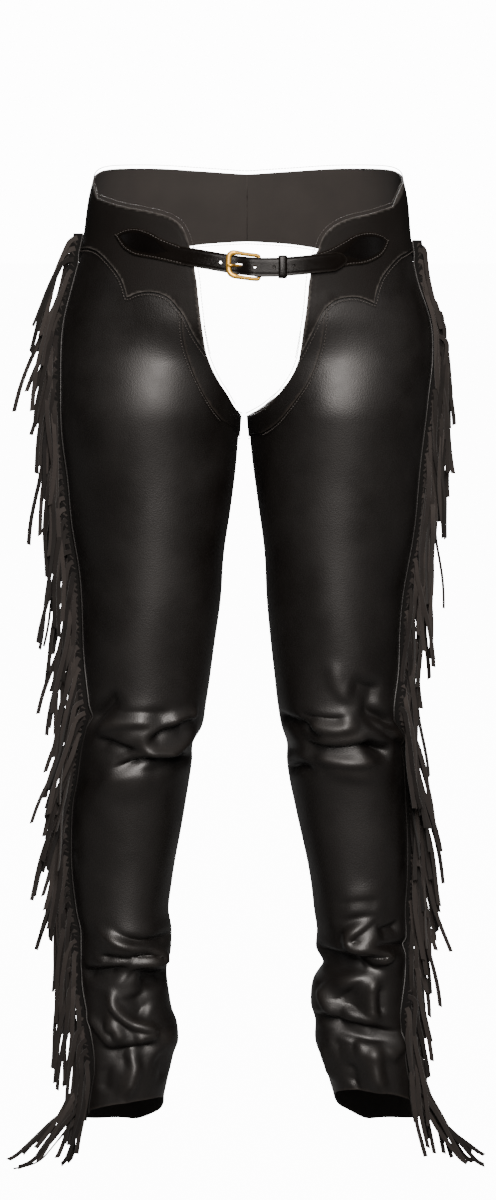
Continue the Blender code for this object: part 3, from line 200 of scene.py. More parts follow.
# The creases seen in the photograph: half the width and the depth in millimetres, and the points that each
# runs through, in pixels of the photograph, 496 wide and 1200 high.
CREASES_SEEN = {
    RIGHT: [
        (8, -8.1, [(122, 688), (110, 700), (97, 714), (88, 724)]),
        (7, -3.5, [(108, 708), (122, 713), (142, 714), (160, 713), (176, 710)]),
        (7, 6.1, [(92, 734), (106, 727), (125, 723), (148, 722), (162, 725)]),
        (5.5, -10.8, [(143, 741), (155, 737), (168, 731), (181, 724), (192, 719)]),
        (4.5, 6.8, [(163, 728), (180, 719), (197, 712)]),
        (5, 8.1, [(141, 733), (144, 745), (153, 752), (166, 750), (180, 743), (192, 734), (199, 727)]),
        (4.5, -8.1, [(94, 739), (110, 742), (127, 748), (143, 755)]),
        (4.5, -10.8, [(106, 771), (122, 765), (140, 760), (157, 757), (175, 756), (194, 756)]),
        (4.5, 4.1, [(116, 762), (130, 758), (143, 756), (160, 752), (180, 751)]),
        (9, 3, [(98, 781), (118, 777), (138, 774), (158, 774)]),
        (4.5, 6.5, [(89, 922), (96, 928), (104, 934), (118, 943), (134, 948), (150, 950), (160, 954),
                    (161.5, 959), (154, 962), (144, 964), (132, 970), (120, 981), (115, 988)]),
        (6, -7.5, [(110, 930), (125, 938), (143, 941), (160, 938), (172, 932)]),
        (4.8, -6.9, [(94, 955), (108, 957), (125, 958), (142, 957), (154, 956)]),
        (4.5, 2.9, [(93, 963), (108, 962), (124, 964), (136, 961)]),
        (4.5, -7.6, [(83, 970), (100, 970), (115, 970), (128, 966)]),
        (5.5, -10, [(134, 977), (146, 975), (158, 974), (172, 972)]),
        (4.5, 7.5, [(115, 986), (113.5, 1002), (119, 1014), (128, 1023), (140, 1028), (153, 1030),
                    (161, 1033)]),
        (11, 2, [(171, 1008), (174, 1030), (171, 1052)]),
        (12, -6.2, [(136, 990), (141, 1005), (148, 1016)]),
        (5, 4.4, [(104, 1028), (113, 1029), (118.5, 1036), (120, 1046)]),
        (4.5, 5.6, [(134, 1043), (146, 1037), (157, 1035)]),
        (4.6, -7, [(97, 1047), (112, 1050), (134, 1048), (154, 1044), (163, 1037)]),
        (6, 7.5, [(123, 1051), (131, 1058), (134, 1068), (131, 1082), (126, 1100)]),
        (8, -4.4, [(156, 1052), (162, 1066), (160, 1084)]),
        (9, -3.8, [(104, 1062), (106, 1078), (103, 1094)]),
        (4.5, 3.4, [(88, 1012), (97, 1026), (107, 1040), (116, 1049)]),
    ],
    LEFT: [
        (8, 3.2, [(333, 655), (335, 672), (338, 686), (345, 695), (356, 700), (372, 699)]),
        (9, -8.1, [(349, 680), (364, 687), (382, 690)]),
        (7, -9.5, [(361, 701), (372, 711), (385, 720), (394, 729)]),
        (5, -5.4, [(300, 715), (318, 718), (335, 719), (352, 717)]),
        (7.5, 8.1, [(303, 723), (320, 726), (336, 728), (350, 726), (361, 722)]),
        (4.5, 5.7, [(364, 716), (379, 724), (393, 735), (403, 746)]),
        (5, -8.1, [(278, 712), (298, 721), (318, 734), (328, 740)]),
        (5, -11.5, [(303, 744), (322, 747), (345, 748), (362, 745), (376, 748), (394, 752)]),
        (6, -8.1, [(360, 739), (376, 744), (392, 750)]),
        (9, 10.1, [(308, 752), (328, 757), (350, 761), (368, 760), (382, 754)]),
        (4.5, 3.8, [(287, 760), (303, 757), (320, 764)]),
        (4.5, -5, [(289, 767), (304, 765), (320, 772)]),
        (6, 2.5, [(338, 914), (355, 911), (372, 910), (388, 912)]),
        (7, -2.5, [(335, 906), (359, 902), (384, 900)]),
        (4.5, 6.3, [(384, 911), (371, 920), (360, 928), (351, 936), (349, 942.5), (352, 948.5),
                    (360, 951.5), (375, 952), (385, 954), (388, 957), (384, 960), (375, 962),
                    (367, 964.5), (370, 971), (374, 978)]),
        (7, -12.5, [(310, 943), (325, 953), (342, 958), (362, 959), (384, 957.5)]),
        (4.5, -5.4, [(366, 948), (380, 946.5), (394, 944.5), (410, 942)]),
        (5, -6.2, [(374, 930), (386, 928), (400, 922)]),
        (5, 5.6, [(374, 976), (372, 993), (373, 1011), (375, 1026)]),
        (13, -7.5, [(349, 982), (352, 1000), (350, 1016)]),
        (6, -3.8, [(379, 982), (379, 1000), (381, 1018)]),
        (7, 5.6, [(320, 984), (324, 1000), (331, 1012), (339, 1020)]),
        (4.8, -8.1, [(314, 1011), (326, 1017), (342, 1023), (362, 1026), (383, 1030), (404, 1035)]),
        (6, 3.5, [(314, 1019), (326, 1024), (342, 1028), (362, 1031), (383, 1034), (404, 1039)]),
        (8, -5.6, [(330, 1043), (346, 1047), (362, 1046)]),
        (6.5, 6.2, [(370, 1042), (374, 1052), (375, 1066), (377, 1086), (378, 1096)]),
        (7, 3.8, [(405, 1044), (395, 1052), (388, 1063)]),
        (8, -5, [(350, 1060), (354, 1076), (352, 1090)]),
        (6, 3.8, [(326, 1042), (329, 1062), (335, 1082)]),
    ],
}
# Like creases on the hidden sides, through points given as turn and height.
CREASES_HIDDEN = {
    RIGHT: [
        (5, -3, [(0.56, -462), (0.66, -470), (0.76, -466), (0.87, -458)]),
        (4.5, 3, [(0.6, -488), (0.7, -496), (0.81, -492), (0.93, -478)]),
        (4, -3, [(0.57, -520), (0.68, -515), (0.8, -522), (0.9, -514)]),
        (6, 2, [(0.62, -380), (0.74, -392), (0.86, -384)]),
        (4, 3.5, [(0.56, -700), (0.66, -712), (0.78, -708), (0.9, -722)]),
        (4, -4, [(0.6, -728), (0.7, -736), (0.82, -730), (0.95, -742)]),
        (4.5, 3, [(0.66, -762), (0.7, -780), (0.68, -798), (0.72, -818)]),
        (4, -4, [(0.56, -820), (0.66, -826), (0.78, -818), (0.92, -828)]),
        (5, 3, [(0.82, -838), (0.84, -860), (0.81, -886), (0.82, -906)]),
        (7, -2, [(0.62, -214), (0.7, -196), (0.8, -186), (0.92, -190)]),
        (7, 2, [(0.6, -236), (0.7, -222), (0.82, -210), (0.95, -208)]),
    ],
    LEFT: [
        (5, 3, [(0.58, -456), (0.68, -464), (0.79, -458), (0.9, -466)]),
        (4.5, -3, [(0.56, -486), (0.67, -490), (0.79, -482), (0.92, -490)]),
        (4, 3, [(0.6, -516), (0.71, -508), (0.83, -515), (0.93, -508)]),
        (6, -2, [(0.6, -372), (0.73, -382), (0.85, -374)]),
        (4, -4, [(0.55, -690), (0.67, -704), (0.8, -698), (0.93, -712)]),
        (4, 3.5, [(0.58, -722), (0.7, -730), (0.82, -722), (0.96, -734)]),
        (4.5, -3, [(0.7, -756), (0.67, -774), (0.71, -792), (0.69, -812)]),
        (4, 3.5, [(0.57, -812), (0.68, -822), (0.8, -814), (0.93, -824)]),
        (5, -3, [(0.8, -836), (0.83, -858), (0.8, -882), (0.82, -902)]),
        (7, 2, [(0.62, -206), (0.71, -192), (0.81, -184), (0.92, -188)]),
        (7, -2, [(0.6, -230), (0.7, -216), (0.82, -206), (0.95, -204)]),
    ],
}
# Slow waves over the smooth leather: how far round, how far up, the shift and the height of each.
SLACK = ((2.0, 0.021, 0.4, 0.9), (3.0, 0.034, 2.1, 0.7), (5.0, 0.013, 4.0, 0.5), (1.0, 0.055, 1.3, 0.45))

# The outer seam and the hem. Columns: height and turn, then turn and height.
SEAMS = {
    RIGHT: np.array([
        (40, 0.497), (0, 0.49), (-50, 0.478), (-180, 0.466), (-350, 0.462), (-420, 0.455), (-465, 0.425),
        (-520, 0.455), (-600, 0.474), (-680, 0.466), (-740, 0.436), (-790, 0.398), (-845, 0.372),
        (-880, 0.382), (-920, 0.402),
    ]),
    LEFT: np.array([
        (40, 0.497), (0, 0.49), (-50, 0.478), (-180, 0.47), (-350, 0.466), (-420, 0.45), (-465, 0.418),
        (-520, 0.455), (-600, 0.474), (-690, 0.474), (-740, 0.44), (-795, 0.395), (-845, 0.395),
        (-880, 0.405), (-920, 0.425),
    ]),
}
HEMS = {
    RIGHT: np.array([
        (0.0, -884), (0.12, -876), (0.25, -878), (0.36, -887), (0.45, -898), (0.55, -913), (0.66, -926),
        (0.78, -929), (0.9, -912), (1.0, -884),
    ]),
    LEFT: np.array([
        (0.0, -884), (0.1, -869), (0.22, -865), (0.33, -871), (0.42, -884), (0.52, -905), (0.64, -924),
        (0.78, -929), (0.9, -908), (1.0, -884),
    ]),
}
# Outlines in the front view, across and height.
THIGH_OPENING = {
    RIGHT: [(-42, -88), (-37, -104), (-30, -119), (-21, -133), (-14, -146)],
    LEFT: [(54, -93), (50, -106), (44, -118), (35, -130), (23, -143), (12, -152)],
}
CROTCH_HEIGHT = -158.0
YOKE_FRONT_EDGE = {
    RIGHT: [(-42, -88), (-46, -59), (-49, -34), (-51, -14), (-54, 4), (-58, 23)],
    LEFT: [(54, -93), (57, -65), (60, -44), (63, -14), (66, 4), (71, 16)],
}
LEG_TOP_FRONT = {
    RIGHT: [(-51, -14), (-80, -12), (-105, -11), (-120, 0), (-134, 20), (-148, 30)],
    LEFT: [(63, -14), (88, -14), (112, -14), (126, -6), (138, 14), (150, 26)],
}
# Outlines on the hidden side, turn and height.
LEG_TOP_BACK = [(0.5, 30), (0.57, 18), (0.62, -2), (0.68, 2)]
SEAT_EDGE = [(0.68, 2), (0.72, -32), (0.77, -80), (0.83, -124), (0.89, -150), (0.95, -158), (1.0, -158)]
LEG_TOP_AT_SEAM = 32.0
SEAM_FOOT = -900.0
CHART_WIDTH = 500.0


def smooth(table, at):
    """The columns of a table after its first, read at the first column's values on a smooth curve."""
    table = table if table[0, 0] < table[-1, 0] else table[::-1]
    keys, values = table[:, 0], table[:, 1:]
    steps = np.diff(keys)[:, None]
    slopes = np.diff(values, axis=0) / steps
    tangents = np.vstack([slopes[:1], (slopes[:-1] + slopes[1:]) / 2, slopes[-1:]])
    turning = np.vstack([slopes[:1] * 0 + 1, slopes[:-1] * slopes[1:], slopes[:1] * 0 + 1]) <= 0
    tangents[turning] = 0
    at = np.clip(np.asarray(at, float), keys[0], keys[-1])
    i = np.clip(np.searchsorted(keys, at) - 1, 0, len(steps) - 1)
    t = ((at - keys[i]) / steps[i, 0])[..., None]
    h = steps[i]
    return (
        (2 * t**3 - 3 * t**2 + 1) * values[i]
        + (t**3 - 2 * t**2 + t) * h * tangents[i]
        + (3 * t**2 - 2 * t**3) * values[i + 1]
        + (t**3 - t**2) * h * tangents[i + 1]
    )


def smoothstep(t):
    t = np.clip(t, 0, 1)
    return t * t * (3 - 2 * t)


def unit(v):
    return v / np.maximum(np.linalg.norm(v, axis=-1, keepdims=True), 1e-12)


def worn_form(side, turn, height):
    """The form that the leather keeps, before its folds."""
    outer, inner, front, back = np.moveaxis(smooth(LEG_FORM[side], height), -1, 0)
    leg_angle = 2 * math.pi * turn
    leg_x = (outer + inner) / 2 - (outer - inner) / 2 * np.cos(leg_angle)
    leg_y = -np.sin(leg_angle) * np.where(np.sin(leg_angle) > 0, front, back)
    hip_angle = math.pi * turn
    across, deep = np.sin(hip_angle), np.cos(hip_angle)
    power = 2 / HIPS_SQUARENESS
    hip_x = outer * np.sign(across) * np.abs(across) ** power
    hip_y = -np.sign(deep) * np.abs(deep) ** power * np.where(deep > 0, front, back)
    hips = smoothstep((height - LEGS_JOIN[0]) / (LEGS_JOIN[1] - LEGS_JOIN[0]))
    x = leg_x + (hip_x - leg_x) * hips
    y = leg_y + (hip_y - leg_y) * hips
    return np.stack([side * x, y, height], axis=-1)


def outward(surface, side, turn, height):
    """Outward unit normals of a surface, from points close to each side of each point."""
    turn_step, height_step = 0.002, 0.6
    across = surface(side, turn + turn_step, height) - surface(side, turn - turn_step, height)
    up = surface(side, turn, height + height_step) - surface(side, turn, height - height_step)
    return unit(np.cross(up, across)) * side * -1


def girth_at(side, height):
    outer, inner, front, back = np.moveaxis(smooth(LEG_FORM[side], height), -1, 0)
    return math.pi * np.sqrt(((outer - inner) ** 2 + (front + back) ** 2) / 2)


def curve(points, step):
    """A smooth curve through some points, as points about a step apart."""
    points = np.array(points, float)
    ends = np.vstack([2 * points[0] - points[1], points, 2 * points[-1] - points[-2]])
    fine = []
    for a, b, c, d in zip(ends[:-3], ends[1:-2], ends[2:-1], ends[3:]):
        t = np.linspace(0, 1, 12, endpoint=False)[:, None]
        fine.append(
            0.5 * (2 * b + (c - a) * t + (2 * a - 5 * b + 4 * c - d) * t**2 + (3 * b - a - 3 * c + d) * t**3)
        )
    fine = np.vstack([*fine, points[-1:]])
    along = np.concatenate([[0], np.cumsum(np.linalg.norm(np.diff(fine, axis=0), axis=1))])
    at = np.linspace(0, along[-1], max(2, round(along[-1] / step) + 1))
    return np.stack([np.interp(at, along, fine[:, k]) for k in range(fine.shape[1])], axis=1)


def turn_at(side, across, height):
    """How far round the form a point of the front view lies."""
    low, high = np.zeros(np.shape(across)), np.full(np.shape(across), 0.5)
    for _ in range(40):
        middle = (low + high) / 2
        short = np.abs(worn_form(side, middle, height)[..., 0]) < np.abs(across)
        short = np.where(np.sign(across) == -side, True, short)
        low, high = np.where(short, middle, low), np.where(short, high, middle)
    return (low + high) / 2


# The photograph's scale at the seams, and its middle in pixels. The camera's place and aim are assumed: a
# long lens, 4.2 m in front of the chaps and a little above the belt, which gives that scale.
MM_PER_PIXEL = 1.05
PHOTO_MIDDLE = (248.0, 600.0)
CAMERA_PLACE = np.array([1.0, -4200.0, 100.0])
CAMERA_AIM = np.array([1.0, 0.0, -352.0])
FOCAL_LENGTH = 120.69


def seen_in_photo(side, pixels):
    """Turn and height where the lines of sight of some pixels meet the front of the worn form."""
    ahead = CAMERA_AIM - CAMERA_PLACE
    distance = np.linalg.norm(ahead)
    up = np.cross((1.0, 0.0, 0.0), ahead / distance)
    right_by, down_by = (np.array(pixels) - PHOTO_MIDDLE).T[..., None] * MM_PER_PIXEL
    sight = ahead + right_by * (1.0, 0.0, 0.0) - down_by * up
    depth = np.full(len(sight), -50.0)
    for _ in range(6):
        reached = CAMERA_PLACE + sight * ((depth - CAMERA_PLACE[1]) / sight[:, 1])[:, None]
        height = reached[:, 2]
        turn = turn_at(side, reached[:, 0], height)
        depth = worn_form(side, turn, height)[:, 1]
    # A millimetre is as fine as the photograph can be read.
    return [(round(t, 3), round(round(h, 1))) for t, h in zip(turn.tolist(), height.tolist())]


def crease_paths(side):
    """The creases as fine lines in millimetres round and up, with their girth, width and depth."""
    paths = []
    seen = [(width, depth, seen_in_photo(side, pixels)) for width, depth, pixels in CREASES_SEEN[side]]
    for width, depth, line in [*seen, *CREASES_HIDDEN[side]]:
        girth = float(girth_at(side, np.array([np.mean([z for _, z in line])]))[0])
        path = curve([(turn * girth, z) for turn, z in line], 4.0)
        paths.append((path, girth, width, depth))
    return paths


# A ridge droops: it falls off steeply below and slowly above, against its width, and a trough the other way.
CREASE_SPREAD = (0.8, 1.8)
CREASE_PATHS = {side: crease_paths(side) for side in (RIGHT, LEFT)}


def crease_lift(side, turn, height):
    """How far the creases lift the leather, fading out at both ends of each."""
    lift = np.zeros(turn.shape)
    flat_turn, flat_height, flat_lift = turn.ravel(), height.ravel(), lift.ravel()
    wrapped = np.where(flat_turn > 0.93, flat_turn - 1, flat_turn)
    for path, girth, width, depth in CREASE_PATHS[side]:
        reach = 2.4 * CREASE_SPREAD[1] * width
        low, high = path.min(axis=0) - reach, path.max(axis=0) + reach
        around = np.where(path[:, 0].min() < 0.07 * girth, wrapped, flat_turn) * girth
        near = (around > low[0]) & (around < high[0]) & (flat_height > low[1]) & (flat_height < high[1])
        if not near.any():
            continue
        p = np.stack([around[near], flat_height[near]], axis=1)[:, None]
        a, b = path[None, :-1], path[None, 1:]
        t = np.clip(((p - a) * (b - a)).sum(-1) / ((b - a) ** 2).sum(-1), 0, 1)
        away = np.linalg.norm(p - a - t[..., None] * (b - a), axis=-1)
        nearest_one = away.argmin(axis=1)
        rows = np.arange(len(nearest_one))
        along, distance = t[rows, nearest_one], away[rows, nearest_one]
        foot = a[0][nearest_one] + along[:, None] * (b - a)[0][nearest_one]
        above = (p[:, 0, 1] - foot[:, 1]) / np.maximum(distance, 0.5) * (1 if depth > 0 else -1)
        spread = width * (CREASE_SPREAD[0] + (CREASE_SPREAD[1] - CREASE_SPREAD[0]) * (1 + above) / 2)
        share = (nearest_one + along) / (len(path) - 1)
        fading = smoothstep(share / 0.3) * smoothstep((1 - share) / 0.3)
        flat_lift[near] += depth * fading * np.exp(-((distance / spread) ** 2))
    return flat_lift.reshape(turn.shape)


def gather_lift(side, turn, height):
    """How far the long folds lift the leather."""
    girth = girth_at(side, height)
    lift = np.zeros(np.shape(turn))
    for row in GATHERS[side]:
        fold = dict(zip(GATHER_COLUMNS, row))
        round_it = ((turn - fold["turn"] + 0.5) % 1 - 0.5) * girth
        rise = height - fold["height"]
        slant = math.radians(fold["slant"])
        along = round_it * math.cos(slant) + rise * math.sin(slant)
        across = rise * math.cos(slant) - round_it * math.sin(slant)
        fading = np.clip(1 - (along / fold["reach"]) ** 2, 0, 1) ** 2
        lift += fold["depth"] * np.exp(-((across / fold["width"]) ** 2)) * fading
    return lift


# How much of the long folds' lift is used, now that the creases lie between them.
GATHER_SHARE = 0.8


def leather_face(side, turn, height):
    """Points of the inside face of the worn leather, folds and all."""
    lift = gather_lift(side, turn, height) * GATHER_SHARE + crease_lift(side, turn, height)
    below_hips = smoothstep((-60 - height) / 80)
    for around, up, shift, wave in SLACK:
        lift = lift + wave * below_hips * np.sin(2 * math.pi * around * turn + up * height + shift)
    return worn_form(side, turn, height) + outward(worn_form, side, turn, height) * lift[..., None]



def on_leather(side, turn, height, out):
    """Points that far out of the leather's inside face."""
    turn, height = np.asarray(turn, float), np.asarray(height, float)
    out = np.broadcast_to(np.asarray(out, float), turn.shape)
    return leather_face(side, turn, height) + outward(leather_face, side, turn, height) * out[..., None]


def chart_of(turn, height):
    """The flat pattern of one side: turn as millimetres across, and height."""
    return np.stack([np.asarray(turn) * CHART_WIDTH, np.asarray(height) + 0.0 * np.asarray(turn)], axis=-1)


def front_line(side, points, step):
    line = curve(points, step)
    return chart_of(turn_at(side, line[:, 0], line[:, 1]), line[:, 1])


def back_line(points, step):
    return curve([(turn * CHART_WIDTH, height) for turn, height in points], step)


def joined(*lines):
    """One outline from several that run on from each other."""
    kept = [lines[0]]
    for line in lines[1:]:
        kept.append(line[1:] if np.linalg.norm(kept[-1][-1] - line[0]) < 0.5 else line)
    return np.vstack(kept)


def seam_line(side, top, bottom, shift, step):
    heights = np.linspace(top, bottom, max(2, round((top - bottom) / step) + 1))
    return chart_of(smooth(SEAMS[side], heights)[:, 0] + shift, heights)


def hem_line(side, start, end, step):
    turns = np.linspace(start, end, max(2, round(abs(end - start) * CHART_WIDTH / step) + 1))
    return chart_of(turns, smooth(HEMS[side], turns)[:, 0])


def down_inner_thigh(turn, bottom, step):
    heights = np.linspace(CROTCH_HEIGHT, bottom, max(2, round((CROTCH_HEIGHT - bottom) / step) + 1))
    return chart_of(np.full(len(heights), turn), heights)


def leg_pattern(side, step):
    """The leg panel as a front and a back lobe, which meet down the inner thigh."""
    half_gap = GAP / 2 / CHART_WIDTH
    top_turn = float(smooth(SEAMS[side], np.array([LEG_TOP_AT_SEAM]))[0, 0])
    foot = float(smooth(SEAMS[side], np.array([SEAM_FOOT]))[0, 0])
    hem_at = lambda turn: float(smooth(HEMS[side], np.array([turn]))[0, 0])
    crotch = np.array([[0.0, CROTCH_HEIGHT]])
    front = joined(
        crotch,
        front_line(side, THIGH_OPENING[side], step)[::-1],
        front_line(side, YOKE_FRONT_EDGE[side][:4], step),
        front_line(side, LEG_TOP_FRONT[side], step),
        chart_of([top_turn - half_gap], [LEG_TOP_AT_SEAM]),
        seam_line(side, LEG_TOP_AT_SEAM, hem_at(foot), -half_gap, step),
        hem_line(side, foot, 0.0, step)[1:],
        down_inner_thigh(0.0, hem_at(0.0), step)[::-1],
    )
    back = joined(
        chart_of([top_turn + half_gap], [LEG_TOP_AT_SEAM]),
        back_line(LEG_TOP_BACK, step)[1:],
        back_line(SEAT_EDGE, step),
        down_inner_thigh(1.0, hem_at(1.0), step),
        hem_line(side, 1.0, foot, step)[:-1],
        seam_line(side, LEG_TOP_AT_SEAM, hem_at(foot), half_gap, step)[::-1],
    )
    return [front, back]


def within(points, outline):
    """Which points lie inside an outline."""
    x, y = points[:, 0][:, None], points[:, 1][:, None]
    a, b = outline, np.roll(outline, -1, axis=0)
    spans = (a[:, 1] > y) != (b[:, 1] > y)
    rise = np.where(b[:, 1] == a[:, 1], 1e-9, b[:, 1] - a[:, 1])
    return (spans & (x < a[:, 0] + (y - a[:, 1]) * (b[:, 0] - a[:, 0]) / rise)).sum(axis=1) % 2 == 1


def away_from(points, line, closed=True):
    """How far each point lies from a line, some thousands of points at a time."""
    a = line if closed else line[:-1]
    b = np.roll(line, -1, axis=0) if closed else line[1:]
    found = []
    for start in range(0, len(points), 4000):
        p = points[start : start + 4000, None]
        t = np.clip(((p - a) * (b - a)).sum(-1) / np.maximum(((b - a) ** 2).sum(-1), 1e-12), 0, 1)
        found.append(np.linalg.norm(p - a - t[..., None] * (b - a), axis=-1).min(axis=1))
    return np.concatenate(found)


def cut_pattern(outlines, step, holes=()):
    """A flat pattern as points and triangles, with its outlines among the edges."""
    every = np.vstack(outlines)
    low, high = every.min(axis=0), every.max(axis=0)
    rows = np.arange(low[1], high[1], step * 0.87)
    grid = np.array([
        (x + (step / 2 if row % 2 else 0), z)
        for row, z in enumerate(rows)
        for x in np.arange(low[0], high[0], step)
    ])
    grid = grid[np.logical_or.reduce([within(grid, outline) for outline in outlines])]
    near = np.min([away_from(grid, outline) for outline in (*outlines, *holes)], axis=0)
    grid = grid[near > step * 0.55]
    points, edges = [*grid], []
    for outline in (*outlines, *holes):
        first, count = len(points), len(outline)
        points += [*outline]
        edges += [(first + k, first + (k + 1) % count) for k in range(count)]
    points, _, triangles, *_ = delaunay_2d_cdt([tuple(p) for p in points], edges, [], 0, 0.02)
    points, triangles = np.array([tuple(p) for p in points]), np.array(triangles)
    centres = points[triangles].mean(axis=1)
    kept = np.logical_or.reduce([within(centres, outline) for outline in outlines])
    for hole in holes:
        kept &= ~within(centres, hole)
    triangles = triangles[kept]
    used, renumbered = np.unique(triangles, return_inverse=True)
    return points[used], renumbered.reshape(-1, 3)


def link_mesh(name, points, faces, materials, sides=None):
    """A mesh piece from points in millimetres, with which material each face has."""
    mesh = bpy.data.meshes.new(name)
    mesh.from_pydata((np.asarray(points) * METRES).tolist(), [], [list(map(int, f)) for f in faces])
    for material in materials:
        mesh.materials.append(material)
    if sides is not None:
        mesh.polygons.foreach_set("material_index", np.asarray(sides, np.int32))
    mesh.polygons.foreach_set("use_smooth", np.ones(len(mesh.polygons), bool))
    mesh.update()
    piece = bpy.data.objects.new(name, mesh)
    bpy.context.scene.collection.objects.link(piece)
    return piece


def tube_faces(first, rings, around, closed=False, turned=False):
    """Faces between rings of points, and at the ends of an open tube. Turned, they face the other way."""
    faces = []
    for ring in range(rings if closed else rings - 1):
        near, far = first + ring * around, first + (ring + 1) % rings * around
        for k in range(around):
            other = (k + 1) % around
            face = (near + k, near + other, far + other, far + k)
            faces.append((face[0], face[3], face[2], face[1]) if turned else face)
    if not closed:
        start = tuple(range(first, first + around))
        end = tuple(range(first + (rings - 1) * around, first + rings * around))
        faces += [start, end[::-1]] if turned else [start[::-1], end]
    return faces


# The radius, in millimetres, to which a cut edge is rounded.
EDGE_ROUNDING = 0.5


def leather_sheet(name, outer, inner, triangles, materials, marks, face_kinds=None):
    """Leather with its two faces and a rounded cut edge. Marks are values kept at each point for its finish.

    The first material is the grain side, the second the flesh side, the third, if any, an inlaid part."""
    a, b, c = (outer[triangles[:, k]] for k in range(3))
    flipped = (np.cross(b - a, c - a) * (outer - inner)[triangles[:, 0]]).sum(axis=1) < 0
    triangles = np.where(flipped[:, None], triangles[:, ::-1], triangles)
    welded_key = np.unique(np.round(outer, 2), axis=0, return_index=True, return_inverse=True)
    first, index = welded_key[1], welded_key[2].reshape(-1)
    outer, inner, triangles = outer[first], inner[first], index[triangles]
    marks = {key: np.asarray(value)[first] for key, value in marks.items()}
    count = len(outer)
    ways = {(int(p), int(q)) for t in triangles for p, q in ((t[0], t[1]), (t[1], t[2]), (t[2], t[0]))}
    rims = [(p, q) for p, q in ways if (q, p) not in ways]
    normal = unit(outer - inner)
    away = np.zeros((count, 3))
    for p, q in rims:
        out_of_panel = np.cross(unit(outer[q] - outer[p]), normal[p] + normal[q])
        away[p] += out_of_panel
        away[q] += out_of_panel
    edge = sorted({p for rim in rims for p in rim})
    slot_of = {p: k for k, p in enumerate(edge)}
    away = unit(away[edge])
    middle = (outer[edge] + inner[edge]) / 2
    half = (outer[edge] - inner[edge]) / 2
    outer, inner = outer.copy(), inner.copy()
    outer[edge] -= away * EDGE_ROUNDING
    inner[edge] -= away * EDGE_ROUNDING
    points, kinds = [outer, inner], []
    for angle in (45, 0, -45):
        turn = math.radians(angle)
        points.append(middle - away * EDGE_ROUNDING * (1 - math.cos(turn)) + half * math.sin(turn))
    faces = [*triangles, *(triangles[:, ::-1] + count)]
    kinds += list(face_kinds) if face_kinds is not None else [0] * len(triangles)
    kinds += [1] * len(triangles)
    rings = [lambda p: p] + [
        (lambda p, k=k: 2 * count + k * len(edge) + slot_of[p]) for k in range(3)
    ] + [lambda p: p + count]
    for p, q in rims:
        for upper, lower in zip(rings[:-1], rings[1:]):
            faces.append((upper(q), upper(p), lower(p), lower(q)))
            kinds.append(0)
    piece = link_mesh(name, np.vstack(points), faces, materials, kinds)
    pairs = {(p, q) for rim in rims for p, q in (rim, rim[::-1])}
    pairs |= {(p + count, q + count) for p, q in pairs}
    ends = np.zeros(len(piece.data.edges) * 2, np.int32)
    piece.data.edges.foreach_get("vertices", ends)
    sharp = [(int(p), int(q)) in pairs for p, q in ends.reshape(-1, 2)]
    piece.data.edges.foreach_set("use_edge_sharp", np.array(sharp, bool))
    for key, value in marks.items():
        mark = piece.data.attributes.new(key, "FLOAT", "POINT")
        rim_value = value[edge]
        mark.data.foreach_set("value", np.concatenate([value, value, *[rim_value] * 3]).astype(np.float32))
    return piece


def add_group(name, inputs, outputs):
    """An empty shader node group with named inputs, each with its value, and named outputs."""
    made = bpy.data.node_groups.new(name, "ShaderNodeTree")
    for label, value in inputs:
        socket = made.interface.new_socket(label, in_out="INPUT", socket_type="NodeSocketFloat")
        socket.default_value = value
    for label in outputs:
        made.interface.new_socket(label, in_out="OUTPUT", socket_type="NodeSocketFloat")
    return made, made.nodes.new("NodeGroupInput"), made.nodes.new("NodeGroupOutput")


def add_node(tree, kind, settings=(), values=()):
    """A node with its settings and the values of its inputs."""
    node = tree.nodes.new(kind)
    for key, value in dict(settings).items():
        setattr(node, key, value)
    for key, value in dict(values).items():
        node.inputs[key].default_value = value
    return node


def link_all(tree, *pairs):
    """Links between nodes, each as a node and its output, then a node and its input."""
    for start, output, end, socket in pairs:
        tree.links.new(start.outputs[output], end.inputs[socket])


def two_shades(tree, first, second):
    """A mix of two colours."""
    return add_node(tree, "ShaderNodeMix", {"data_type": "RGBA"}, {6: (*first, 1.0), 7: (*second, 1.0)})


def new_material(name, shader_values=()):
    """A material with its shader's constant values set, its node tree and its shader."""
    material = bpy.data.materials.new(name)
    material.use_nodes = True
    tree = material.node_tree
    shader = tree.nodes["Principled BSDF"]
    for key, value in dict(shader_values).items():
        shader.inputs[key].default_value = value
    return material, tree, shader


